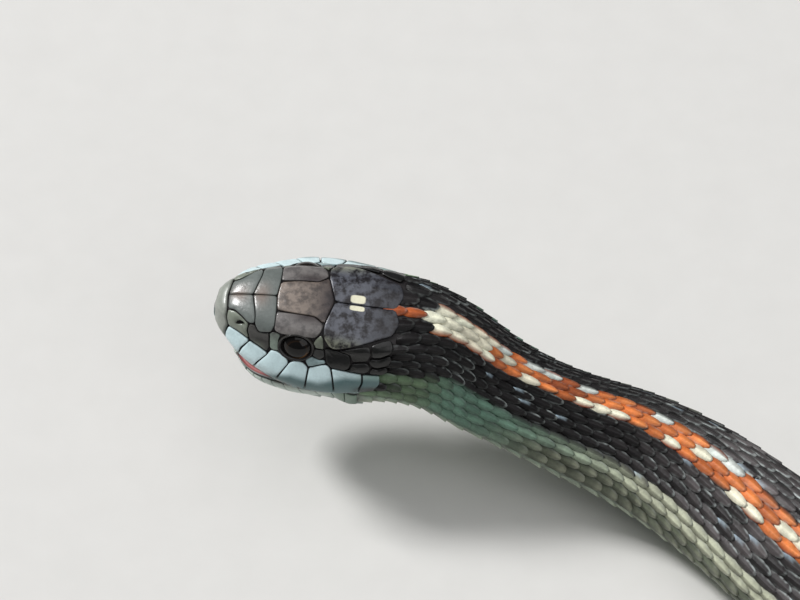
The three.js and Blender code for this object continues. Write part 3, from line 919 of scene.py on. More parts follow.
# Rows of scales on the body, counted from the middle of the back
ROW_WIDTHS = [1.04, 1.04, 1.04, 1.04, 1.04, 1.04, 1.15, 1.25, 1.38, 1.5]
ROW_ENDS = {5: 262, 4: 275, 6: 396, 3: 412, 7: 430, 2: 452, 8: 478, 1: 500}
ROW_END_LENGTH = 6
BELLY_EDGE = 1.1
SCALE_PITCH = [
    (14, 1.45), (19, 1.5), (23.5, 1.5), (26.5, 1.8), (35, 1.95), (50, 2.3), (100, 2.6), (200, 2.75),
    (300, 2.75), (405, 2.45), (460, 1.95), (530, 1.3),
]
FIRST_SCALE = [
    (0, 15.2), (0.1, 15.95), (0.2, 15.75), (0.28, 15.85), (0.36, 15.7), (0.45, 16.05), (0.54, 15.8),
    (0.64, 16.0), (0.71, 15.5), (0.82, 15.5), (0.95, 15.1), (1.0, 14.0), (1.2, 13.9),
]
NAPE_SCALE_WIDTH = 0.66
NAPE_WIDENS = (17, 19)
FIRST_STATION = 13.9
COAT_BREAKS = [150, 280, 410]
COAT_MARGIN = 3
BACK_SEED = 7
LAST_ROW_KEEL = 0.2
FULL_THICKNESS_RADIUS = 5.5
LEAST_THICKNESS = 0.3
# The back leans toward the animal's left where the body reaches the ground
TWIST = [(40, 0), (47, 0.05), (54, 0.12), (61, 0.17), (72, 0.14), (95, 0), (530, 0)]

# One scale: its places along and across from -1 to 1, its outline and its relief
SCALE_ALONG = [-1, -0.86, -0.35, 0.2, 0.62, 0.86, 0.96, 1]
SCALE_ACROSS = [-1, -0.88, -0.12, 0, 0.12, 0.88, 1]
SCALE_REACH = 0.68
SCALE_SPREAD = 0.6
SCALE_FRONT_RISE = -0.1
SCALE_REAR_RISE = 0.1
SCALE_SINK = -0.28
CROWN_RISE = 0.05
KEEL_RISE = 0.05
SCALE_MIDDLE = -0.1
TIP_HALF_WIDTH = 0.16
KEEL_START = -0.9
# A scale's patch on the unwrap, and its underside's: half its length and width, and its shift
TOP_PATCH = (0.46, 0.36, 0.1)
UNDER_PATCH = (0.4, 0.09, -0.38)


def twisted(s, around):
    return around + smooth(TWIST, s)


def scale_form():
    """Places of one scale's points, its faces, and the points round its rim for its underside"""
    rows, columns = len(SCALE_ALONG) - 1, len(SCALE_ACROSS) - 1
    form = grid_form(rows, columns, 1)
    places, faces = read_form(form)
    rim = [edge for edge in form.edges if edge.is_boundary]
    under = bmesh.ops.edgeloop_fill(form, edges=rim)["faces"][0]
    rim_corners = np.array([[vert.index for vert in under.verts]])
    form.free()
    x = np.interp(places[:, 0], np.linspace(-1, 1, rows + 1), SCALE_ALONG)
    y = np.interp(places[:, 1], np.linspace(-1, 1, columns + 1), SCALE_ACROSS)
    return x, y, faces, rim_corners


SCALE_X, SCALE_Y, SCALE_FACES, SCALE_RIM = scale_form()
SCALE_EDGE = np.maximum(np.abs(SCALE_X), np.abs(SCALE_Y)) >= NEAR_BORDER


def scale_outline(x):
    """Half width of a scale at a place along it, from -1 at its front to 1 at its tip"""
    past = x - SCALE_MIDDLE
    front = np.clip(1 - np.abs(past / (1 + SCALE_MIDDLE)) ** 2.6, 0, 1) ** 0.5
    rear = np.clip(1 - np.abs(past / (1 - SCALE_MIDDLE)) ** 2.3, 0, 1) ** 0.6
    return np.maximum(np.where(past < 0, front, rear), TIP_HALF_WIDTH)


def lay_scales(coat, s, around, length, width, tints, keel, rim, lower=False, thickness=1.0,
               band=(0, 1), middle=0):
    """Scales at the given centres, with lengths along in millimetres and widths in around"""
    x, y = SCALE_X[None], SCALE_Y[None]
    along_body = s[:, None] + x * length[:, None] * SCALE_REACH
    turn = around[:, None] + y * scale_outline(x) * width[:, None] * SCALE_SPREAD
    turn = twisted(along_body, turn)
    slope = blend(SCALE_FRONT_RISE, SCALE_REAR_RISE, (x + 1) / 2)
    ridge = (np.abs(y) < TINY) * (x > KEEL_START)
    crown = CROWN_RISE * (1 - y ** 2) + KEEL_RISE * keel[:, None] * ridge
    rise = np.where(SCALE_EDGE[None], SCALE_SINK, slope + crown) * thickness
    points = surface(along_body, turn, rise, lower)
    offsets = np.arange(len(s))[:, None, None] * len(SCALE_X)
    faces = (SCALE_FACES[None] + offsets).reshape(-1, 4)

    def patch(along_scale, across_scale, size):
        reach, spread, shift = size
        flat_s = s[:, None] + reach * length[:, None] * along_scale
        flat_turn = around[:, None] - middle + (spread * across_scale + shift) * width[:, None]
        return coat.unwrap.flat(flat_s, flat_turn, band).reshape(-1, 2)

    flat = patch(x, y, TOP_PATCH)
    local = np.stack(np.broadcast_arrays(x, y, rim[:, None]), -1)
    first = coat.add(points, faces, flat[faces], tints, place_of(along_body, turn), local)
    circle = 2 * np.pi * np.arange(SCALE_RIM.shape[1]) / SCALE_RIM.shape[1]
    rims = (SCALE_RIM[None] + offsets).reshape(len(s), -1)
    coat.more_faces(first, rims, patch(np.cos(circle), np.sin(circle), UNDER_PATCH))


def row_sides(row):
    """The middle row lies on both sides at once"""
    return (1,) if row == 0 else (1, -1)


def row_places(s):
    """Middles and widths around, at each place along, of the rows on one side"""
    weights = np.array([
        width * (1 - smoothstep(ROW_ENDS[row] - ROW_END_LENGTH, ROW_ENDS[row] + ROW_END_LENGTH, s))
        if row in ROW_ENDS else width * np.ones_like(s)
        for row, width in enumerate(ROW_WIDTHS)
    ])
    weights[0] = weights[0] / 2
    widths = weights / weights.sum(0) * BELLY_EDGE
    middles = np.cumsum(widths, 0) - widths / 2
    middles[0] = 0
    widths[0] = widths[0] * 2
    return middles, widths


def scale_stations(first, last):
    """Places along the back where the scales of one row lie, a pitch apart"""
    stations = [first]
    while stations[-1] < last:
        stations.append(stations[-1] + float(smooth(SCALE_PITCH, stations[-1])))
    return np.array(stations)


# Markings of the body
ORANGE = colour(222, 122, 62)
# Painted highlight on the orange scales
ORANGE_HIGHLIGHT = colour(240, 160, 98)
RUST = colour(146, 70, 44)
CREAM_SCALE = colour(240, 241, 217)
PEACH = colour(212, 176, 150)
BACK_BLACK = colour(13, 11, 12)
# Grey of the dark back: partly its own grey-brown tone, partly painted sheen of light
BACK_SHEEN_GREY = colour(104, 98, 98)
FLECK = colour(190, 212, 226)
SIDE_MOSS = colour(102, 124, 96)
SIDE_GREEN = colour(104, 138, 120)
SIDE_CREAM = colour(196, 199, 174)
SIDE_OLIVE = colour(92, 98, 82)
BELLY_GREY = colour(168, 178, 156)
# How far the dark scales are greyed by painted sheen, by place along the body
SHEEN_GREY_SHARE = [(16, 0.06), (40, 0.1), (50, 0.6), (60, 0.7), (530, 0.75)]
# The stripe starts with a run of cream scales; after it, single cream scales by signed row
CREAM_START = 17.9
CREAM_END = 23.6
CREAM_SCALES = {
    -1: [25.6, 27.7, 31.0, 34.6, 42.9, 47.9, 51.0],
    0: [25.4, 46.9],
    1: [28.0, 33.3, 35.5, 36.9, 38.8, 43.4, 53.6, 56.2],
}
NAMED_END = 59
CREAM_SHARE = {-1: 0.36, 0: 0.1, 1: 0.36}
# Stretches over which a marking comes in or goes
STRIPE_START = (18.5, 19)
STRIPE_NARROWS = (385, 455)
DULL_PLACE = 32.3
DULL_REACH = 2.6
BLUER_GREEN = (19, 23)
# The side stripe is green-grey near the head, partly its own tint and partly painted shade, and cream
# further back where it lies in the light
SHADED_GREEN_TO_CREAM = (26, 46)
OLIVE_START = (24, 34)
OLIVE_END = (400, 425)
SIDE_START = (19, 20.4)
SIDE_EDGE_START = (20.6, 21.6)
SIDE_RAISED = ((21.3, 22.3), (25, 27))
SIDE_LOWERED = ((26, 29), (42, 46))
RIGHT_SIDE_LOWERED = ((40, 46), (64, 74))
MOUTH_FOLD_END = (16.4, 17.6)
# Shares of the dark scales with a pale fleck, and with a strong painted highlight along the rim
FLECK_SHARE = 0.1
GLINT_RIM_SHARE = 0.16
RUSTY_SHARE = 0.4
MIXED_SHARE = 0.7
# Painted shade on the rim's points, which tuck under the neighbouring scales, beside the rest of the
# scale
DARK_EDGE_SHADE = 0.35
BRIGHT_EDGE_SHADE = 0.6
SIDE_EDGE_SHADE = 0.4
# Plain strength of the painted highlight along a scale's rim
PLAIN_RIM_GLINT = 0.3


def cream_scales(row, side, s, chance):
    """Which scales of a stripe row are cream"""
    run = (s > CREAM_START) & (s < CREAM_END)
    half = smooth(SCALE_PITCH, s) / 2
    named = np.abs(s[:, None] - CREAM_SCALES[row * side]).min(1) < half
    drawn = chance[:, 0, 0] < CREAM_SHARE[row * side]
    return (run | np.where(s < NAMED_END, named, drawn))[:, None, None]


# Places of a scale's points, shaped to go with a row of scales, and how far each is from its sides and
# tip, which sets painted light and shade: lighter in the middle of a scale, darker toward its sides and
# tip
POINT_X, POINT_Y, EDGE_POINT = [table[None, :, None] for table in (SCALE_X, SCALE_Y, SCALE_EDGE)]
LIT_DOME_SHARE = 1 - np.maximum(np.abs(POINT_Y), np.clip(POINT_X, 0, 1)) ** 2


def row_tints(row, side, s, random):
    """Colour of each point of each scale in one row, and how strong the painted highlight on its rim is
    """
    count = len(s)
    near = s[:, None, None]
    chance, second, third = random.random((3, count, 1, 1))
    vary = np.clip(random.normal(1, 0.12, (count, 1, 1)), 0.7, 1.3)
    # Painted sheen: the dark scales grey toward their tips and further along the body, partly their own
    # grey-brown tone
    grey = smooth(SHEEN_GREY_SHARE, near)
    pale = (0.12 + 0.88 * chance) * grey * (0.75 + 0.5 * smoothstep(-0.6, 0.5, POINT_X))
    dark = blend(BACK_BLACK, BACK_SHEEN_GREY, pale) * vary ** 1.6 * np.where(EDGE_POINT, DARK_EDGE_SHADE, 1)
    front = 1 - smoothstep(-0.6, 0.0, POINT_X)
    fleck = (second < FLECK_SHARE) * front * smoothstep(0.2, 0.8, -POINT_Y)
    dark = blend(dark, FLECK, fleck * 0.85)
    # Strength of the painted rim highlight, more on the greyer scales
    dark_rim_glint = np.where(third < GLINT_RIM_SHARE, 0.6, 0.12 + 1.2 * third * grey)[:, 0, 0]
    if row > 1:
        return side_tints(row, side, s, dark, dark_rim_glint, vary)
    # Painted highlight in the middle of each orange scale toward its tip, partly its own lighter centre
    centre_highlight = smoothstep(-0.6, 0.3, POINT_X) * (1 - np.abs(POINT_Y)) * (0.3 + 0.5 * second)
    orange = blend(blend(ORANGE, ORANGE_HIGHLIGHT, centre_highlight), RUST, third ** 2 * 0.7) * vary
    dull = 0.75 * hump((near - DULL_PLACE) / DULL_REACH) * (row * side < 1)
    orange = blend(orange, RUST * 0.8, dull)
    orange = np.where(near < CREAM_START, blend(RUST, ORANGE, 0.4 * chance), orange)
    cream = blend(CREAM_SCALE, PEACH, third * 0.3) * (0.92 + 0.08 * vary)
    cream = blend(cream, FLECK, (side < 0) * (near > CREAM_END) * 0.45)
    # Painted light and shade: each scale lighter in its middle, darker at its rim
    shade = np.where(EDGE_POINT, BRIGHT_EDGE_SHADE, blend(0.86, 1.16, LIT_DOME_SHARE))
    bright = np.where(cream_scales(row, side, s, chance), cream, orange) * shade
    bright_rim_glint = np.full(count, PLAIN_RIM_GLINT)
    if row == 0:
        return bright, bright_rim_glint
    mixed = np.where(second < MIXED_SHARE, bright, dark)
    outside = np.where(third < RUSTY_SHARE, RUST * vary, mixed)
    outside = np.where(near < CREAM_END, blend(RUST, ORANGE, 0.5 * chance), outside)
    margin = blend(bright, outside, smoothstep(-0.1, 0.7, POINT_Y))
    narrowed = 2.2 * smoothstep(*STRIPE_NARROWS, near)
    edge = 1 - smoothstep(1 - narrowed, 1.4 - narrowed, POINT_Y)
    kept = smoothstep(*STRIPE_START, near) * edge
    return blend(dark, margin, kept), blend(dark_rim_glint, bright_rim_glint, kept.mean((1, 2)))


def side_tints(row, side, s, dark, dark_rim_glint, vary):
    """Colours, and strengths of the painted rim highlight, of the rows between the back's stripe and the
    belly
    """
    # Painted light and shade: each scale lighter in its middle, darker at its rim
    shade = np.where(EDGE_POINT, SIDE_EDGE_SHADE, blend(0.62, 1.12, LIT_DOME_SHARE))
    near = s[:, None, None]
    green = blend(SIDE_MOSS, SIDE_GREEN, smoothstep(*BLUER_GREEN, near))
    # Green-grey near the head, partly painted shade, and cream further back
    stripe = blend(SIDE_CREAM, green, 1 - smoothstep(*SHADED_GREEN_TO_CREAM, near))
    stripe = stripe * blend(0.9, vary, 0.6) * shade
    olive = blend(SIDE_OLIVE * vary, SIDE_CREAM * 0.8, smoothstep(0, 0.9, POINT_X) * 0.6) * shade
    lower = blend(olive, stripe, 1 - smoothstep(*OLIVE_START, near))
    tail = blend(lower, stripe, smoothstep(*OLIVE_END, near))
    dipped = (side < 0) * within(*RIGHT_SIDE_LOWERED, near)
    rim = np.full(len(s), PLAIN_RIM_GLINT)
    if row == 5:
        raised = within(*SIDE_RAISED, near) * smoothstep(0.1, 0.5, POINT_Y)
        return blend(dark, stripe, raised), dark_rim_glint
    if row == 6:
        upper = 1 - smoothstep(-0.3, 0.3, POINT_Y)
        late = upper * (1 - smoothstep(*SIDE_EDGE_START, near))
        lowered = upper * within(*SIDE_LOWERED, near)
        share = smoothstep(*SIDE_START, near) * (1 - np.maximum(late, lowered)) * (1 - dipped)
        return blend(dark, stripe, share), rim * 0.6
    if row == 7:
        return blend(stripe, dark, dipped), rim * 0.6
    if row == 8:
        fold = 1 - smoothstep(*MOUTH_FOLD_END, near)
        return blend(blend(tail, stripe, dipped), dark, fold), rim * 0.4
    if row == 9:
        return lower, rim * 0.4
    return dark, dark_rim_glint


def dorsal_scales():
    """Coats of the back and sides, divided where the animal is long"""
    random = np.random.default_rng(BACK_SEED)
    breaks = [0, *COAT_BREAKS, BODY_LENGTH]
    coats = [Coat(max(low, FIRST_STATION) - COAT_MARGIN, high + COAT_MARGIN, 3)
             for low, high in zip(breaks, breaks[1:])]
    stations = scale_stations(FIRST_STATION, LAST_SCALE)
    between = (stations[1:] + stations[:-1]) / 2
    for row in range(len(ROW_WIDTHS)):
        centres = stations if row % 2 == 0 else between
        centres = centres[centres < ROW_ENDS.get(row, BODY_LENGTH)]
        middles, widths = row_places(centres)
        started = centres > np.interp(middles[row], *np.array(FIRST_SCALE).T)
        s = centres[started]
        for side in row_sides(row):
            around = side * middles[row][started]
            width = side * widths[row][started]
            if row == 0:
                width = width * blend(NAPE_SCALE_WIDTH, 1, smoothstep(*NAPE_WIDENS, s))
            tints, rim = row_tints(row, side, s, random)
            length = smooth(SCALE_PITCH, s)
            thin = np.clip(smooth(BODY_RADIUS, s) / FULL_THICKNESS_RADIUS, LEAST_THICKNESS, 1)
            keel = np.full(len(s), LAST_ROW_KEEL if row == len(ROW_WIDTHS) - 1 else 1.0)
            for number, coat in enumerate(coats):
                part = (s >= breaks[number]) & (s < breaks[number + 1])
                if part.any():
                    lay_scales(coat, s[part], around[part], length[part], width[part], tints[part],
                               keel[part], rim[part], thickness=thin[part][:, None])
    return [coat.build(f"back_scales_{number + 1}", [SCALES], welded=False)
            for number, coat in enumerate(coats)]


scale_pieces = dorsal_scales()

# Belly: one broad scute a pitch, paired under the tail
VENT = 405
SCUTE_ALONG = [-1, -0.9, -0.3, 0.4, 0.8, 0.95, 1]
SCUTE_COLUMNS = 20
SCUTE_REACH = 0.66
SCUTE_FRONT_RISE = -0.19
SCUTE_REAR_RISE = 0.04
SCUTE_UNDERSIDE = -0.36
VENT_REACH = 0.95
VENT_RISE = 0.05
SCUTE_SPOT = colour(40, 42, 40)
BELLY_SEED = 11
SPOTTED_SHARE = 0.6
PAIR_OVERLAP = 0.02
CORNER_CUT = 0.07
REAR_BEND = 0.5
# Painted shade on the front of each scute, where it lies under the scute ahead
SCUTE_FRONT_SHADE = 0.45
FIRST_SCUTE = 14.9


def belly_scutes():
    """Scutes from the throat to the tail tip, each bent back at its middle"""
    random = np.random.default_rng(BELLY_SEED)
    coat = Coat(FIRST_SCUTE - COAT_MARGIN, BODY_LENGTH + COAT_MARGIN, 3)
    places, below, faces = closed_grid(len(SCUTE_ALONG) - 1, SCUTE_COLUMNS)
    under = below[faces].any(1)[:, None, None]
    x = np.interp(places[:, 0], np.linspace(0, 1, len(SCUTE_ALONG)), SCUTE_ALONG)
    y = places[:, 1] * 2 - 1
    edge = np.maximum(np.abs(x), np.abs(y)) > NEAR_BORDER
    for centre in scale_stations(FIRST_SCUTE, LAST_SCALE):
        pitch = float(smooth(SCALE_PITCH, centre))
        at_vent = VENT - pitch <= centre < VENT
        reach = pitch * (VENT_REACH if at_vent else SCUTE_REACH)
        whole = [(BELLY_EDGE, 4 - BELLY_EDGE)]
        halves = [(BELLY_EDGE, 2 + PAIR_OVERLAP), (2 - PAIR_OVERLAP, 4 - BELLY_EDGE)]
        tone = BELLY_GREY * random.normal(1, 0.04)
        spotted = random.random() < SPOTTED_SHARE
        for low, high in (whole if centre < VENT else halves):
            corner = CORNER_CUT * np.abs(x) ** 4
            swept = REAR_BEND * reach * (np.abs(y) ** 2 if centre < VENT else 0)
            s = centre + x * reach - swept
            turn = blend(low + corner, high - corner, places[:, 1])
            ends = smoothstep(0.8, 1, np.abs(np.abs(turn - 2) / (2 - BELLY_EDGE)))
            rear_rise = VENT_RISE if at_vent else SCUTE_REAR_RISE
            slope = blend(SCUTE_FRONT_RISE, rear_rise, (x + 1) / 2) - 0.08 * ends
            rise = np.where(below, SCUTE_UNDERSIDE, np.where(edge, SCALE_SINK, slope))
            points = surface(s, twisted(s, turn), rise)
            # Painted shade on the scute's front
            tint = blend(tone, tone * SCUTE_FRONT_SHADE, 1 - smoothstep(-0.95, -0.45, x)[:, None])
            # Green-grey scute ends near the head, partly painted shade
            green = ends * (1 - smoothstep(*SHADED_GREEN_TO_CREAM, centre))
            tint = blend(tint, SIDE_GREEN * 0.9, green[:, None])
            spot = 0.85 * hump((x + 0.35) / 0.3, (np.abs(y) - 0.84) / 0.07)
            tint = blend(tint, SCUTE_SPOT, (spot * spotted)[:, None])
            flat = coat.unwrap.flat(centre + x * reach * 0.7, turn - 2, (0, 0.9))
            low = coat.unwrap.flat(centre + x * reach * 0.7, turn - 2, (0.92, 1))
            flats = np.where(under, low[faces], flat[faces])
            coat.add(points, faces, flats, tint, place_of(s, turn), np.stack([x, y, 0 * x], -1))
    return coat.build("belly_scutes", [BELLY], welded=False)


belly = belly_scutes()


# Shields of the head: plates with rounded corners, drawn in millimetres on the head's surface.
# The chart's table has a row every step behind the snout, and shares of the way to the lip. A
# place that is looked up is held just before its last row and column.
CHART_REACH = (-0.2, 20)
CHART_STEP = 0.1
CHART_SHARES = 81
BEFORE_LAST = 1.001


class Chart:
    """Turns places around the head into millimetres from its midline, and back"""

    def __init__(self, lower):
        self.middle, self.turn = (2, -1) if lower else (0, 1)
        self.places = np.arange(*CHART_REACH, CHART_STEP)
        self.shares = np.linspace(0, 1, CHART_SHARES)
        s, share = np.meshgrid(self.places, self.shares, indexing="ij")
        points = outer(s, self.middle + self.turn * share, lower)
        steps = np.linalg.norm(np.diff(points, axis=1), axis=-1)
        self.lengths = np.hstack([np.zeros((len(s), 1)), np.cumsum(steps, 1)])
        shared = self.lengths / np.maximum(self.lengths[:, -1:], TINY)
        self.back = np.array([np.interp(self.shares, row, self.shares) for row in shared])

    def look_up(self, table, s, share):
        i = np.clip((s - self.places[0]) / CHART_STEP, 0, len(self.places) - BEFORE_LAST)
        j = np.clip(share * (len(self.shares) - 1), 0, len(self.shares) - BEFORE_LAST)
        row, column = i.astype(int), j.astype(int)
        near = blend(table[row, column], table[row, column + 1], j - column)
        far = blend(table[row + 1, column], table[row + 1, column + 1], j - column)
        return blend(near, far, i - row)

    def across(self, s, around):
        """Millimetres from the midline, more than nothing on the animal's left"""
        share = (around - self.middle) * self.turn
        return np.sign(share) * self.look_up(self.lengths, s, np.abs(share))

    def around(self, s, across):
        whole = np.interp(s, self.places, self.lengths[:, -1])
        share = self.look_up(self.back, s, np.abs(across) / whole)
        return self.middle + self.turn * np.sign(across) * share


UPPER, LOWER = Chart(False), Chart(True)
LOOP_COUNT = 48
# Parts of the unwrap for the tops of the plates and for their undersides
TOP_BAND = (0, 0.6)
UNDER_BAND = (0.62, 1)
SUTURE = 0.025
# Distance in from the edge, and height, of each ring from the underside up to the crown of a plate
PLATE_EDGE = [
    (0.12, -0.2), (0.02, -0.16), (0, -0.04), (0.012, 0.03), (0.04, 0.06), (0.1, 0.08), (0.22, 0.09),
]
# Share of the way in, and height, of the rings inside them
PLATE_CROWN = [(0.25, 0.095), (0.5, 0.1), (0.75, 0.1), (1, 0.1)]
# Tint of each edge ring: darker toward the edge, partly the dark sutures, partly painted shade where the
# plate rounds down into them
EDGE_SHADE_TINTS = [0.35, 0.35, 0.45, 0.7, 0.92, 1, 1]
# Share of the way from the edge to a hole, height and tint, of the rings round and into it; the tint
# darkens into the hole as painted shade
HOLE_RINGS = [(0.5, 0.1, 1), (0.8, 0.13, 0.95), (1, 0.11, 0.7), (1.02, 0.02, 0.3), (1.0, -0.3, 0.1)]
# Painted shade on a plate's underside
UNDERSIDE_SHADE_TINT = 0.35
LEAST_LEAN = 0.35
WIDE_PLATE = 0.42
# Share of a plate's size at which its top lies on the unwrap, by ring, and its underside's share
TOP_SPREAD = [(1, 0.98), (2, 0.95), (3, 0.9)]
UNDER_SPREAD = 0.7
LAST_EDGE_RING = 3


def rounded_loop(outline, corner, count):
    """Evenly spaced points round a closed outline, with its corners rounded"""
    corners = np.array(outline, float)
    loop = []
    for here, last, coming in zip(corners, np.roll(corners, 1, 0), np.roll(corners, -1, 0)):
        ends = []
        for other in (last, coming):
            far = np.linalg.norm(other - here)
            ends.append(here + (other - here) / far * min(corner, 0.45 * far))
        t = np.linspace(0, 1, 6)[:, None]
        loop.append((1 - t) ** 2 * ends[0] + 2 * t * (1 - t) * here + t ** 2 * ends[1])
    loop = np.concatenate(loop)
    loop = np.vstack([loop, loop[:1]])
    far = np.concatenate([[0], np.cumsum(np.linalg.norm(np.diff(loop, axis=0), axis=1))])
    places = np.linspace(0, far[-1], count + 1)
    return np.stack([np.interp(places, far, loop[:, axis]) for axis in (0, 1)], -1)


def inward(loop):
    """Directions in from each point of a closed loop whose last point repeats the first"""
    open_loop = loop[:-1]
    tangent = np.roll(open_loop, -1, 0) - np.roll(open_loop, 1, 0)
    normal = np.stack([-tangent[:, 1], tangent[:, 0]], -1)
    normal /= np.linalg.norm(normal, axis=1, keepdims=True)
    x, y = open_loop.T
    area = np.sum(x * np.roll(y, -1) - y * np.roll(x, -1))
    normal *= np.sign(area)
    return np.vstack([normal, normal[:1]])


def plate(coat, outline, tint, lower=False, corner=0.25, rise=1.0, both=True, hole=None, domed=0.0,
          marble=0.3):
    """A raised plate. The outline has (behind the snout, around) corners, on the animal's left.
    A hole is an oval with its centre and its two half sizes in millimetres."""
    chart = LOWER if lower else UPPER
    corners = np.array(outline, float)
    flat = np.stack([corners[:, 0], chart.across(corners[:, 0], corners[:, 1])], -1)
    loop = rounded_loop(flat, corner, LOOP_COUNT)
    into = inward(loop)
    loop = loop + into * SUTURE
    centre = loop[:-1].mean(0)
    far = np.linalg.norm(centre - loop, axis=1)
    toward = (centre - loop) / far[:, None]
    lean = np.maximum(np.sum(into * toward, 1), LEAST_LEAN)
    size = min(1, far.min() / WIDE_PLATE)
    rings = [loop + toward * np.minimum(inset * size / lean, 0.5 * far)[:, None]
             for inset, _ in PLATE_EDGE]
    heights = [height for _, height in PLATE_EDGE]
    shades = list(EDGE_SHADE_TINTS)
    if hole is None:
        for share, height in PLATE_CROWN:
            rings.append(blend(rings[len(PLATE_EDGE) - 1], centre, share))
            heights.append(height + domed * (1 - (1 - share) ** 2))
            shades.append(1)
        rings.insert(0, np.broadcast_to(centre, loop.shape))
        heights.insert(0, heights[0])
        shades.insert(0, UNDERSIDE_SHADE_TINT)
    else:
        place, turn, reach, spread = hole
        middle = np.array([place, float(chart.across(np.array(place), np.array(turn)))])
        out = loop - middle
        angle = np.arctan2(out[:, 1] / spread, out[:, 0] / reach)
        oval = middle + np.stack([np.cos(angle) * reach, np.sin(angle) * spread], -1)
        for share, height, shade in HOLE_RINGS:
            rings.append(blend(rings[len(PLATE_EDGE) - 1], oval, share))
            heights.append(height)
            shades.append(shade)
        rings.append(rings[0])
        heights.append(heights[0])
        shades.append(shades[0])
    places, faces = flat_grid(len(rings) - 1, LOOP_COUNT)
    row = np.rint(places[:, 0] * (len(rings) - 1)).astype(int)
    column = np.rint(places[:, 1] * LOOP_COUNT).astype(int)
    rings, heights, shades = np.array(rings), np.array(heights), np.array(shades)
    spots = rings[row, column]
    under = row[faces].max(1) <= 1
    spread = np.interp(row, *np.array(TOP_SPREAD).T)[:, None]
    laid = blend(centre, np.where(row[:, None] <= LAST_EDGE_RING, loop[column], spots), spread)
    shrunk = blend(centre, spots, UNDER_SPREAD)
    for side in ((1, -1) if both else (1,)):
        s, around = spots[:, 0], chart.around(spots[:, 0], spots[:, 1] * side)
        points = surface(s, around, heights[row] * rise, lower)
        colours = tint(s, np.abs(around)) if callable(tint) else np.broadcast_to(tint, points.shape)
        top, low = [
            coat.unwrap.flat(spot, chart.around(spot, across * side) - chart.middle, band)
            for (spot, across), band in ((laid.T, TOP_BAND), (shrunk.T, UNDER_BAND))]
        corners_flat = np.where(under[:, None, None], low[faces], top[faces])
        coat.add(points, faces, corners_flat, colours * shades[row][:, None], place_of(s, around),
                 (marble, 0, side * 0.5))


# Tints of the head
SNOUT_GREY = colour(106, 112, 109)
SNOUT_BROWN = colour(118, 106, 98)
ROSTRAL_PALE = colour(143, 147, 139)
FRONTAL_BROWN = colour(128, 116, 107)
DARK_BROWN = colour(58, 50, 50)
PARIETAL_GREY = colour(87, 89, 97)
PARIETAL_DARK = colour(44, 45, 50)
SUPRAOCULAR_GREY = colour(116, 112, 110)
OLIVE_GREY = colour(124, 126, 110)
NASAL_OLIVE = colour(124, 130, 118)
LOREAL_DARK = colour(68, 67, 64)
LOREAL_PALE = colour(112, 118, 106)
PREOCULAR_PALE = colour(120, 132, 122)
TEMPORAL_BLACK = colour(13, 13, 11)
LIP_BLUE = colour(203, 224, 227)
# Painted shade for the lower part of the upper lip scales, which turns down away from the light
LIP_SHADE = colour(80, 106, 107)
LIP_REAR = colour(138, 164, 158)
FOLD_DARK = colour(36, 42, 40)
JAW_GREY = colour(178, 190, 180)
# Darker green of the jaw near the corner of the mouth, partly painted shade
JAW_SHADED_GREEN = colour(100, 122, 104)


def crown_tint(base, dark, place, turn, reach, spread):
    """A plate's colour, with a darker patch at one place"""
    def tint(s, around):
        return blend(base, dark, hump((s - place) / reach, (around - turn) / spread)[..., None])
    return tint


# Where the painted shade on the lower part of the upper lip scales starts, by place behind the snout
LIP_SHADE_PLACES = [3, 5.2, 6.3, 7.4, 9.8, 12.2, 14.5]
LIP_SHADE_STARTS = [1.05, 0.95, 0.86, 0.81, 0.835, 0.755, 0.77]


def lip_tint(s, around):
    """Upper lip scales are pale blue above, with painted shade on their lower part toward the lip, and
    dark at its corner
    """
    middle = np.interp(s, LIP_SHADE_PLACES, LIP_SHADE_STARTS)
    # Painted shade over the lower part of each upper lip scale
    low = smoothstep(middle - 0.035, middle + 0.035, around)[..., None]
    rear = smoothstep(12.5, 14.5, s)[..., None]
    fold = smoothstep(12.6, 13.8, s) * smoothstep(0.83, 0.9, around)
    return blend(blend(blend(LIP_BLUE, LIP_REAR, rear), LIP_SHADE, low), FOLD_DARK, fold[..., None])


# Outlines of the plates on the animal's left, each corner being (behind the snout, around). The
# frontal lies across the midline.
INTERNASAL = [
    (1.2, 0), (1.33, 0.15), (1.4, 0.2), (2.05, 0.19), (2.7, 0.23), (3.4, 0.29), (4.0, 0.28),
    (3.95, 0.19), (3.75, 0.11), (3.45, 0),
]
PREFRONTAL = [
    (3.45, 0), (3.75, 0.11), (3.95, 0.19), (4.0, 0.28), (4.4, 0.38), (5.45, 0.335), (5.75, 0.25),
    (5.75, 0.12), (5.6, 0),
]
FRONTAL = [(5.6, 0), (5.75, 0.12), (7.5, 0.125), (9.05, 0.13), (9.9, 0.175), (10.6, 0)]
SUPRAOCULAR = [
    (5.75, 0.13), (5.72, 0.3), (6.25, 0.32), (7.55, 0.31), (9.25, 0.3), (9.7, 0.24), (9.9, 0.18),
    (9.05, 0.13), (7.55, 0.125),
]
PARIETAL = [
    (10.6, 0), (9.9, 0.18), (9.9, 0.27), (10.6, 0.37), (11.2, 0.36), (13.15, 0.26), (14.6, 0.21),
    (15.55, 0.19), (15.95, 0.1), (15.5, 0),
]
NASAL = [
    (1.4, 0.21), (1.36, 0.39), (1.55, 0.57), (2.55, 0.53), (3.5, 0.56), (3.45, 0.5), (3.3, 0.43),
    (3.45, 0.3), (2.7, 0.235), (2.05, 0.2),
]
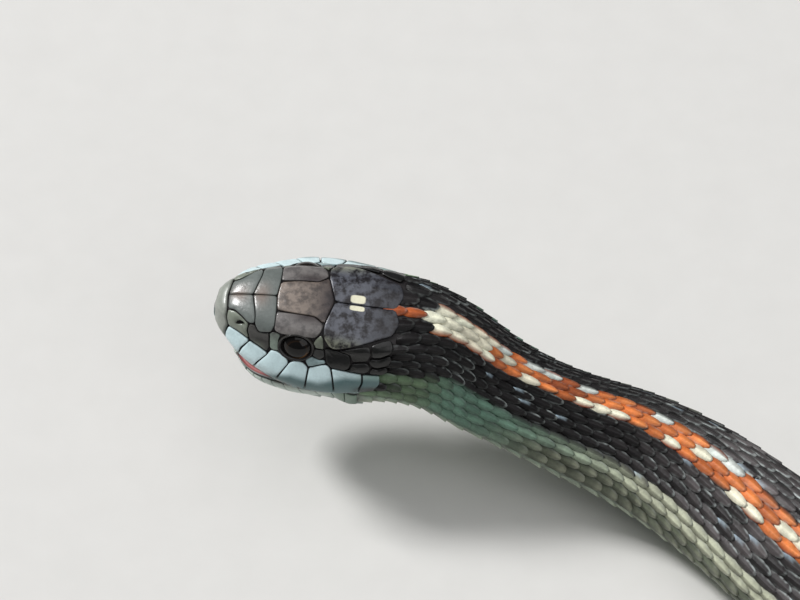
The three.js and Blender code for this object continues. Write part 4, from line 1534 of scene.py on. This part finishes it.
# Centre of the nostril, behind the snout and around, and its half sizes in millimetres
NOSTRIL_HOLE = (2.68, 0.335, 0.42, 0.2)
LOREAL = [
    (3.5, 0.3), (4.0, 0.29), (4.4, 0.385), (5.3, 0.35), (5.28, 0.45), (5.35, 0.56), (5.2, 0.66),
    (4.35, 0.61), (3.6, 0.57), (3.5, 0.5), (3.36, 0.43),
]
PREOCULAR = [
    (5.36, 0.345), (5.7, 0.315), (6.3, 0.335), (6.12, 0.42), (6.15, 0.5), (6.2, 0.57),
    (5.6, 0.585), (5.4, 0.56), (5.33, 0.45),
]
POSTOCULARS = [
    ([(9.3, 0.31), (9.75, 0.255), (9.95, 0.29), (10.05, 0.41), (9.35, 0.42), (9.1, 0.36)],
     colour(108, 114, 100)),
    ([(9.25, 0.43), (10.08, 0.42), (10.2, 0.5), (9.75, 0.56), (9.1, 0.52)], colour(60, 60, 58)),
    ([(8.5, 0.6), (9.05, 0.535), (9.7, 0.56), (10.2, 0.545), (10.35, 0.59), (9.95, 0.625),
      (9.3, 0.68), (8.8, 0.7)],
     colour(140, 160, 162)),
]
TEMPORALS = [
    [(10.1, 0.385), (10.65, 0.39), (11.3, 0.38), (12.3, 0.4), (12.5, 0.5), (12.4, 0.61),
     (12.0, 0.665), (10.85, 0.65), (10.42, 0.6), (10.22, 0.5)],
    [(11.3, 0.37), (12.3, 0.315), (13.15, 0.275), (13.9, 0.26), (14.1, 0.36), (13.9, 0.46),
     (12.6, 0.49), (12.35, 0.4)],
    [(12.6, 0.51), (13.9, 0.48), (14.3, 0.55), (14.2, 0.66), (13.7, 0.7), (12.75, 0.68),
     (12.1, 0.665), (12.47, 0.61)],
    [(13.95, 0.255), (14.65, 0.225), (15.5, 0.21), (15.85, 0.28), (15.7, 0.36), (14.9, 0.41),
     (14.2, 0.4), (14.15, 0.35)],
    [(14.1, 0.42), (14.9, 0.43), (15.7, 0.38), (16.05, 0.45), (15.8, 0.54), (14.9, 0.58),
     (14.4, 0.55), (14.0, 0.47)],
    [(14.4, 0.57), (14.9, 0.6), (15.7, 0.56), (16.0, 0.64), (15.5, 0.715), (14.3, 0.7), (14.3, 0.62)],
]
UPPER_LABIALS = [
    [(1.58, 0.585), (2.55, 0.545), (3.5, 0.58), (3.5, 0.63), (2.85, 0.81), (2.6, 0.985),
     (1.33, 0.985), (1.35, 0.8)],
    [(3.6, 0.6), (4.35, 0.63), (5.2, 0.68), (5.2, 0.71), (4.38, 0.85), (4.0, 0.985), (2.68, 0.985),
     (2.95, 0.81)],
    [(5.3, 0.69), (5.5, 0.6), (6.0, 0.58), (6.8, 0.62), (7.1, 0.69), (7.05, 0.73), (6.35, 0.86),
     (6.0, 0.985), (4.08, 0.985), (4.45, 0.85)],
    [(7.2, 0.7), (7.6, 0.645), (8.3, 0.645), (8.8, 0.71), (8.68, 0.85), (8.58, 0.985),
     (6.08, 0.985), (6.43, 0.86)],
    [(8.9, 0.71), (9.3, 0.69), (9.95, 0.635), (10.4, 0.61), (10.75, 0.66), (11.0, 0.78),
     (11.2, 0.9), (11.2, 0.985), (8.66, 0.985), (8.75, 0.85)],
    [(10.85, 0.66), (12.7, 0.69), (13.6, 0.71), (13.75, 0.81), (13.35, 0.985), (11.28, 0.985),
     (11.28, 0.9), (11.08, 0.78)],
    [(13.7, 0.715), (15.3, 0.725), (15.5, 0.82), (15.1, 0.95), (13.5, 0.99), (13.83, 0.81)],
]
# Lower lip scales: their front edges, and the turns of their upper and lower edges
LABIAL_LEAN = 0.25
LABIAL_TOP = 1.06
LABIAL_LOW = 1.38
LABIAL_STARTS = [1.85, 2.7, 3.6, 4.7, 6.0, 7.5, 9.1, 10.8, 12.3, 13.6]
FIRST_LOWER_LABIAL = [
    (0.67, 1.07), (1.75, 1.06), (1.86, 1.36), (2.0, 1.62), (2.0, 1.975), (1.66, 1.975), (1.1, 1.6),
    (0.78, 1.36)]
FRONT_CHIN = [(2.05, 1.975), (2.1, 1.62), (2.5, 1.44), (4.3, 1.43), (4.9, 1.62), (4.75, 1.975)]
REAR_CHIN = [(4.85, 1.96), (5.0, 1.66), (4.6, 1.45), (6.2, 1.42), (8.2, 1.6), (8.5, 1.74), (6.8, 1.86)]


# Small scales of the throat, in rows beside the midline, behind the end of the chin shields
THROAT_PITCH = 1.4
THROAT_ROW = 1.05
THROAT_START = 5.2
THROAT_END = 14.6
THROAT_ROWS = 9
THROAT_SEED = 5
THROAT_EDGE_TURN = 1.44
THROAT_GAP = 0.75
THROAT_THICKNESS = 0.8
# Where the chin shields end, by place around
CHIN_TURNS = [1.38, 1.45, 1.6, 1.74, 1.86, 1.96, 2.0]
CHIN_ENDS = [5.7, 6.2, 8.2, 8.6, 6.9, 4.9, 4.8]


def throat_scales(coat):
    random = np.random.default_rng(THROAT_SEED)
    for row in range(THROAT_ROWS):
        places = np.arange(THROAT_START + row % 2 * THROAT_PITCH / 2, THROAT_END, THROAT_PITCH)
        for side in row_sides(row):
            around = LOWER.around(places, np.full_like(places, side * row * THROAT_ROW))
            inner, outside = [
                LOWER.around(places, np.full_like(places, side * (row + step) * THROAT_ROW))
                for step in (-0.5, 0.5)]
            turn = 2 - np.abs(around - 2)
            behind = places > np.interp(turn, CHIN_TURNS, CHIN_ENDS) + THROAT_GAP
            free = (turn > THROAT_EDGE_TURN) & behind
            if not free.any():
                continue
            s = places[free]
            length = np.full(len(s), THROAT_PITCH * 1.05)
            vary = random.normal(1, 0.04, (len(s), 1, 1))
            # The rim's points of each throat scale get painted shade
            tint = JAW_GREY * 0.9 * vary * np.where(SCALE_EDGE, 0.6, 1)[None, :, None]
            lay_scales(coat, s, around[free], length, (inner - outside)[free], tint, 0 * s, 0.1 + 0 * s,
                       lower=True, thickness=THROAT_THICKNESS, band=TOP_BAND, middle=2)


# Rear edges of the plates at the tips of the snout and of the lower jaw: shares of the way from
# the midline to the lip, and places behind the snout tip
ROSTRAL_REAR = [
    (0, 1.12), (0.04, 1.15), (0.15, 1.26), (0.24, 1.3), (0.39, 1.3), (0.57, 1.5), (0.8, 1.3), (1, 1.28)]
MENTAL_REAR = [(0, 1.62), (0.04, 1.57), (0.42, 1.02), (0.65, 0.74), (0.92, 0.64), (1, 0.62)]
# Share of the way from the tip to the rear edge, and height, from the top round to the underside
TIP_PLATE = [
    (0, 0.08), (0.3, 0.1), (0.6, 0.1), (0.85, 0.09), (0.95, 0.06), (1, -0.04),
    (0.95, -0.16), (0.85, -0.16), (0.6, -0.16), (0.3, -0.16), (0, -0.16)]
TIP_UNDER = 0.55
# Shares of the plate's length and width that its underside and top take on the unwrap
TIP_UNDER_PATCH = (0.8, 0.8, UNDER_BAND)
TIP_TOP_PATCH = (0.92, 0.9, TOP_BAND)
# The plate thins out over this last share of its width
TIP_THINNED = 0.06
TIP_MARBLE = 0.12
TIP_COLUMNS = 40


def tip_plate(coat, tip, rear_edge, tint, lower=False):
    """Plate over the tip of a jaw: two layers that meet along its rear edge"""
    rows = np.linspace(0, 1, len(TIP_PLATE))
    reach, height = np.array(TIP_PLATE).T
    places, faces = flat_grid(len(TIP_PLATE) - 1, TIP_COLUMNS)
    side = places[:, 1] * 2 - 1
    middle = 2 if lower else 0
    edge = np.interp(np.abs(side), *np.array(rear_edge).T) - SUTURE
    share = np.interp(places[:, 0], rows, reach)
    s = tip + (edge - tip) * share
    thinned = np.clip((1 - np.abs(side)) / TIP_THINNED, 0, 1)
    lift = np.interp(places[:, 0], rows, height) * thinned
    points = surface(s, middle + side, lift, lower)
    under = (places[:, 0] > TIP_UNDER)[faces].any(1)
    low, top = [
        coat.unwrap.flat(s * along_share, side * across_share, band)
        for along_share, across_share, band in (TIP_UNDER_PATCH, TIP_TOP_PATCH)]
    flat = np.where(under[:, None, None], low[faces], top[faces])
    # Darker toward the rear edge: partly the dark suture, partly painted shade
    shade = blend(tint, tint * 0.5, smoothstep(0.88, 1, share)[:, None])
    coat.add(points, faces, flat, shade, place_of(s, middle + side), (TIP_MARBLE, 0, 0))


def parietal_tint(s, around):
    """Slate grey with an olive outer margin in front, and darker at the rear"""
    grey = blend(PARIETAL_GREY, PARIETAL_DARK, 0.8 * smoothstep(12.5, 15, s)[..., None])
    margin = smoothstep(0.2, 0.31, around) * (1 - smoothstep(12, 14, s))
    return blend(grey, OLIVE_GREY, margin[..., None])


def jaw_tint(s, around):
    """Pale grey, turning to a darker green toward the corner of the mouth: partly the neck's green,
    partly painted shade
    """
    return blend(JAW_GREY, JAW_SHADED_GREEN, smoothstep(9, 12.5, s)[..., None])


def head_plates():
    crown = Coat(-1, 18, 1)
    tip_plate(crown, -SNOUT_TIP, ROSTRAL_REAR, ROSTRAL_PALE)
    plate(crown, INTERNASAL, crown_tint(SNOUT_GREY, SNOUT_BROWN, 2.2, 0.02, 0.8, 0.08), marble=0.15)
    plate(crown, PREFRONTAL, crown_tint(SNOUT_GREY * 0.9, SNOUT_BROWN, 4.2, 0.02, 0.7, 0.08),
          marble=0.12)
    whole = FRONTAL + [(s, -around) for s, around in FRONTAL[-2:0:-1]]
    plate(crown, whole, crown_tint(FRONTAL_BROWN, DARK_BROWN, 10.3, 0, 1.6, 0.3), both=False,
          marble=0.6)
    plate(crown, SUPRAOCULAR, crown_tint(SUPRAOCULAR_GREY, DARK_BROWN, 8.6, 0.14, 1.8, 0.05),
          marble=0.45)
    plate(crown, PARIETAL, parietal_tint, marble=1.0)
    plate(crown, NASAL, NASAL_OLIVE, hole=NOSTRIL_HOLE, corner=0.15, marble=0.12)
    plate(crown, LOREAL, crown_tint(LOREAL_DARK, LOREAL_PALE, 4.3, 0.6, 0.5, 0.05), corner=0.15)
    plate(crown, PREOCULAR, crown_tint(PREOCULAR_PALE, LOREAL_DARK, 5.7, 0.31, 0.5, 0.05), corner=0.15)
    for outline, tint in POSTOCULARS:
        plate(crown, outline, tint, corner=0.15)
    for outline in TEMPORALS:
        plate(crown, outline, TEMPORAL_BLACK, domed=0.03)
    lips = Coat(-1, 18, 1)
    for outline in UPPER_LABIALS:
        plate(lips, outline, lip_tint, corner=0.12, rise=1.1)
    chin = Coat(-1, 18, 1)
    tip_plate(chin, MOUTH_CORNER - JAW_LENGTH - JAW_TIP, MENTAL_REAR, JAW_GREY, lower=True)
    plate(chin, FIRST_LOWER_LABIAL, jaw_tint, lower=True, corner=0.12, rise=0.8)
    for start, end in zip(LABIAL_STARTS, LABIAL_STARTS[1:]):
        leaned = [(end + LABIAL_LEAN, LABIAL_LOW), (start + LABIAL_LEAN, LABIAL_LOW)]
        outline = [(start, LABIAL_TOP), (end, LABIAL_TOP), *leaned]
        plate(chin, outline, jaw_tint, lower=True, corner=0.12, rise=0.8)
    plate(chin, FRONT_CHIN, JAW_GREY, lower=True, rise=0.8)
    plate(chin, REAR_CHIN, JAW_GREY, lower=True, rise=0.8)
    throat_scales(chin)
    return [crown.build("crown_shields", [SHIELDS]), lips.build("lip_shields", [LIPS]),
            chin.build("chin_shields", [LIPS])]


plates = head_plates()


# Eyes
EYE_STOPS = [
    (0, (5, 4, 4)), (0.6, (5, 4, 4)), (0.64, (150, 104, 54)), (0.7, (92, 62, 36)),
    (0.85, (40, 30, 24)), (1.0, (22, 18, 16)),
]
EYE_SHADOW = colour(12, 10, 9)
EYE_LIT_SIDE = (0.55, -0.83, 0)
EYE_ROUGHNESS = 0.06
EYE_IOR = 1.34
EYE_SEGMENTS = 64
EYE_RINGS = 40
# Half sizes of the outer and inner half's places on the eye's unwrap, and their distance apart
EYE_MAP = (0.24, 0.48)
EYE_MAP_SHIFT = 0.25


def oriented(s, around):
    """Directions out of the head at a place, back along it, and the third one"""
    out = outward(np.array([s]), np.array([around]))[0]
    behind, ahead = [outer(np.array([s + step]), np.array([around]))[0] for step in (0.1, -0.1)]
    back = behind - ahead
    back = back - out * np.dot(out, back)
    back = back / np.linalg.norm(back)
    return out, back, np.cross(out, back)


def eye_material():
    """Dark pupil, then a thin bright ring and a brown iris, which shows on one side only"""
    material, tree, shader = new_material("eye_gloss")
    local = attribute(tree, "Local")
    angle = maths(tree, "ARCCOSINE", apart(tree, local)["Z"])
    ramp = node(tree, "ValToRGB", {"Fac": angle})
    elements = ramp.color_ramp.elements
    while len(elements) < len(EYE_STOPS):
        elements.new(0.5)
    for element, (place, shade) in zip(elements, EYE_STOPS):
        element.position = place
        element.color = (*colour(*shade), 1)
    toward = vector_maths(tree, "DOT_PRODUCT", local, EYE_LIT_SIDE)
    lit = ranged(tree, toward, 0.35, 0.75, 0.04, 1.0)
    painted = mix_colour(tree, lit, (*EYE_SHADOW, 1), ramp.outputs["Color"])
    tree.links.new(painted, shader.inputs["Base Color"])
    shader.inputs["Roughness"].default_value = EYE_ROUGHNESS
    shader.inputs["IOR"].default_value = EYE_IOR
    return material


def eye_piece(name, side, material):
    form = bmesh.new()
    bmesh.ops.create_uvsphere(form, u_segments=EYE_SEGMENTS, v_segments=EYE_RINGS, radius=1)
    uv = form.loops.layers.uv.new("OFBake")
    for face in form.faces:
        for corner in face.loops:
            x, y, z = corner.vert.co
            middle = 0.5 - EYE_MAP_SHIFT * (1 if z > 0 else -1)
            corner[uv].uv = (middle + x * EYE_MAP[0], 0.5 + y * EYE_MAP[1])
    mesh = bpy.data.meshes.new(name)
    form.to_mesh(mesh)
    form.free()
    mesh.polygons.foreach_set("use_smooth", np.ones(len(mesh.polygons), bool))
    s, across, height = EYE_CENTRE
    centre = placed(frames(np.array([s])), np.array([side * across]), np.array([height]))[0]
    points = np.empty(len(mesh.vertices) * 3)
    mesh.vertices.foreach_get("co", points)
    points = points.reshape(-1, 3)
    mesh.attributes.new("Local", "FLOAT_VECTOR", "POINT").data.foreach_set(
        "vector", (points * np.array([1, side, 1])).ravel())
    out, back, third = oriented(EYE_PLACE[0], side * EYE_PLACE[1])
    sized = points * np.array(EYE_HALF_SIZES)
    turned = sized[:, :1] * back + sized[:, 1:2] * third + sized[:, 2:] * out
    mesh.vertices.foreach_set("co", ((turned + centre) * MM).ravel())
    mesh.update()
    mesh.materials.append(material)
    return in_scene(name, mesh)


EYE_GLOSS = eye_material()
eyes = [eye_piece("left_eyeball", 1, EYE_GLOSS), eye_piece("right_eyeball", -1, EYE_GLOSS)]

# Rim of skin round each eye. The opening has its place behind the snout, around, and half sizes.
EYE_OPENING = (7.64, 0.44, 1.38, 1.2)
# Distance out from the opening, and height, round the section of the rim
EYE_RIM = [
    (-0.34, -0.5), (-0.1, -0.05), (-0.02, 0.08), (0.06, 0.12), (0.14, 0.1), (0.2, 0), (0.2, -0.25),
    (-0.34, -0.5),
]
# Shares of the opening's size between which the rim lies on the unwrap
EYE_RIM_MAP = (0.8, 0.35)
EYE_RIM_DARK = colour(18, 16, 16)
EYE_RIM_PALE = colour(52, 50, 47)


def eye_rims():
    coat = Coat(-1, 18, 1)
    place, turn, reach, spread = EYE_OPENING
    places, faces = flat_grid(len(EYE_RIM) - 1, LOOP_COUNT)
    row = np.rint(places[:, 0] * (len(EYE_RIM) - 1)).astype(int)
    angle = 2 * np.pi * places[:, 1]
    out, height = np.array(EYE_RIM)[row].T
    middle = float(UPPER.across(np.array(place), np.array(turn)))
    s = place + np.cos(angle) * (reach + out)
    for side in (1, -1):
        across = middle + np.sin(angle) * (spread + out)
        around = UPPER.around(s, side * across)
        flat_out = blend(*EYE_RIM_MAP, places[:, 0])
        flat_s = place + np.cos(angle) * reach * flat_out
        flat_across = middle + np.sin(angle) * spread * flat_out
        flat = coat.unwrap.flat(flat_s, UPPER.around(flat_s, side * flat_across))
        tint = blend(EYE_RIM_DARK, EYE_RIM_PALE, smoothstep(0.05, 0.15, out)[:, None])
        coat.add(surface(s, around, height), faces, flat[faces], tint, place_of(s, around))
    return coat.build("eye_rims", [SHIELDS])


rims = eye_rims()

# Each piece rides on the root, and the CAD parts it covers are hidden
for piece in [skin, belly, rims, *scale_pieces, *plates, *eyes]:
    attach(piece, "root")
body_nodes = ["head", "lower_jaw", "neck"]
body_nodes += [f"body_{i + 1}" for i in range(14)] + [f"tail_{i + 1}" for i in range(4)]
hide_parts(*body_nodes)
for piece, node_name in zip(eyes, ("left_eye", "right_eye")):
    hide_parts(node_name)


# Floor, light and camera
FLOOR_HALF_SIZE = 3
FLOOR_DARK = (0.60, 0.59, 0.57, 1)
FLOOR_PALE = (0.64, 0.63, 0.61, 1)


def floor_piece():
    form = grid_form(1, 1, FLOOR_HALF_SIZE)
    mesh = bpy.data.meshes.new("floor")
    form.to_mesh(mesh)
    form.free()
    floor = in_scene("floor", mesh)
    material, tree, shader = new_material("floor_matt")
    grain = noise(tree, object_place(tree), 260.0, 3.0)
    tree.links.new(mix_colour(tree, grain, FLOOR_DARK, FLOOR_PALE), shader.inputs["Base Color"])
    shader.inputs["Roughness"].default_value = 0.9
    mesh.materials.append(material)


floor_piece()

CAMERA_ELEVATION_DEG = 50
CAMERA_DISTANCE = 373
CAMERA_LENS = 173.3
SENSOR_WIDTH = 36
SKY = (0.9, 0.95, 1, 1)
SKY_STRENGTH = 0.16


def lamp(name, place, size, power, target):
    data = bpy.data.lights.new(name, "AREA")
    data.size = size
    data.energy = power
    made = in_scene(name, data)
    made.location = place
    made.rotation_euler = (Vector(target) - Vector(place)).to_track_quat("-Z", "Y").to_euler()


target = Vector((-BOX_CENTRE[0], -BOX_CENTRE[1], 0)) * MM
tilt = math.radians(CAMERA_ELEVATION_DEG)
camera_data = bpy.data.cameras.new("camera")
camera_data.sensor_width = SENSOR_WIDTH
camera_data.lens = CAMERA_LENS
camera_data.clip_start = 0.01
camera = in_scene("camera", camera_data)
camera.location = target + Vector((0, -math.cos(tilt), math.sin(tilt))) * CAMERA_DISTANCE * MM
camera.rotation_euler = (target - camera.location).to_track_quat("-Z", "Y").to_euler()
bpy.context.scene.camera = camera

lamp("key", (-1.35, 0.66, 1.5), 0.45, 41, target)
lamp("fill", (1.0, -1.5, 1.5), 1.8, 12, target)
lamp("top", (0, 0, 2.2), 2.2, 16, (0, 0, 0))
world = bpy.data.worlds.new("studio")
bpy.context.scene.world = world
world.use_nodes = True
background = world.node_tree.nodes["Background"]
background.inputs["Color"].default_value = SKY
background.inputs["Strength"].default_value = SKY_STRENGTH
bpy.context.scene.view_settings.view_transform = "Standard"
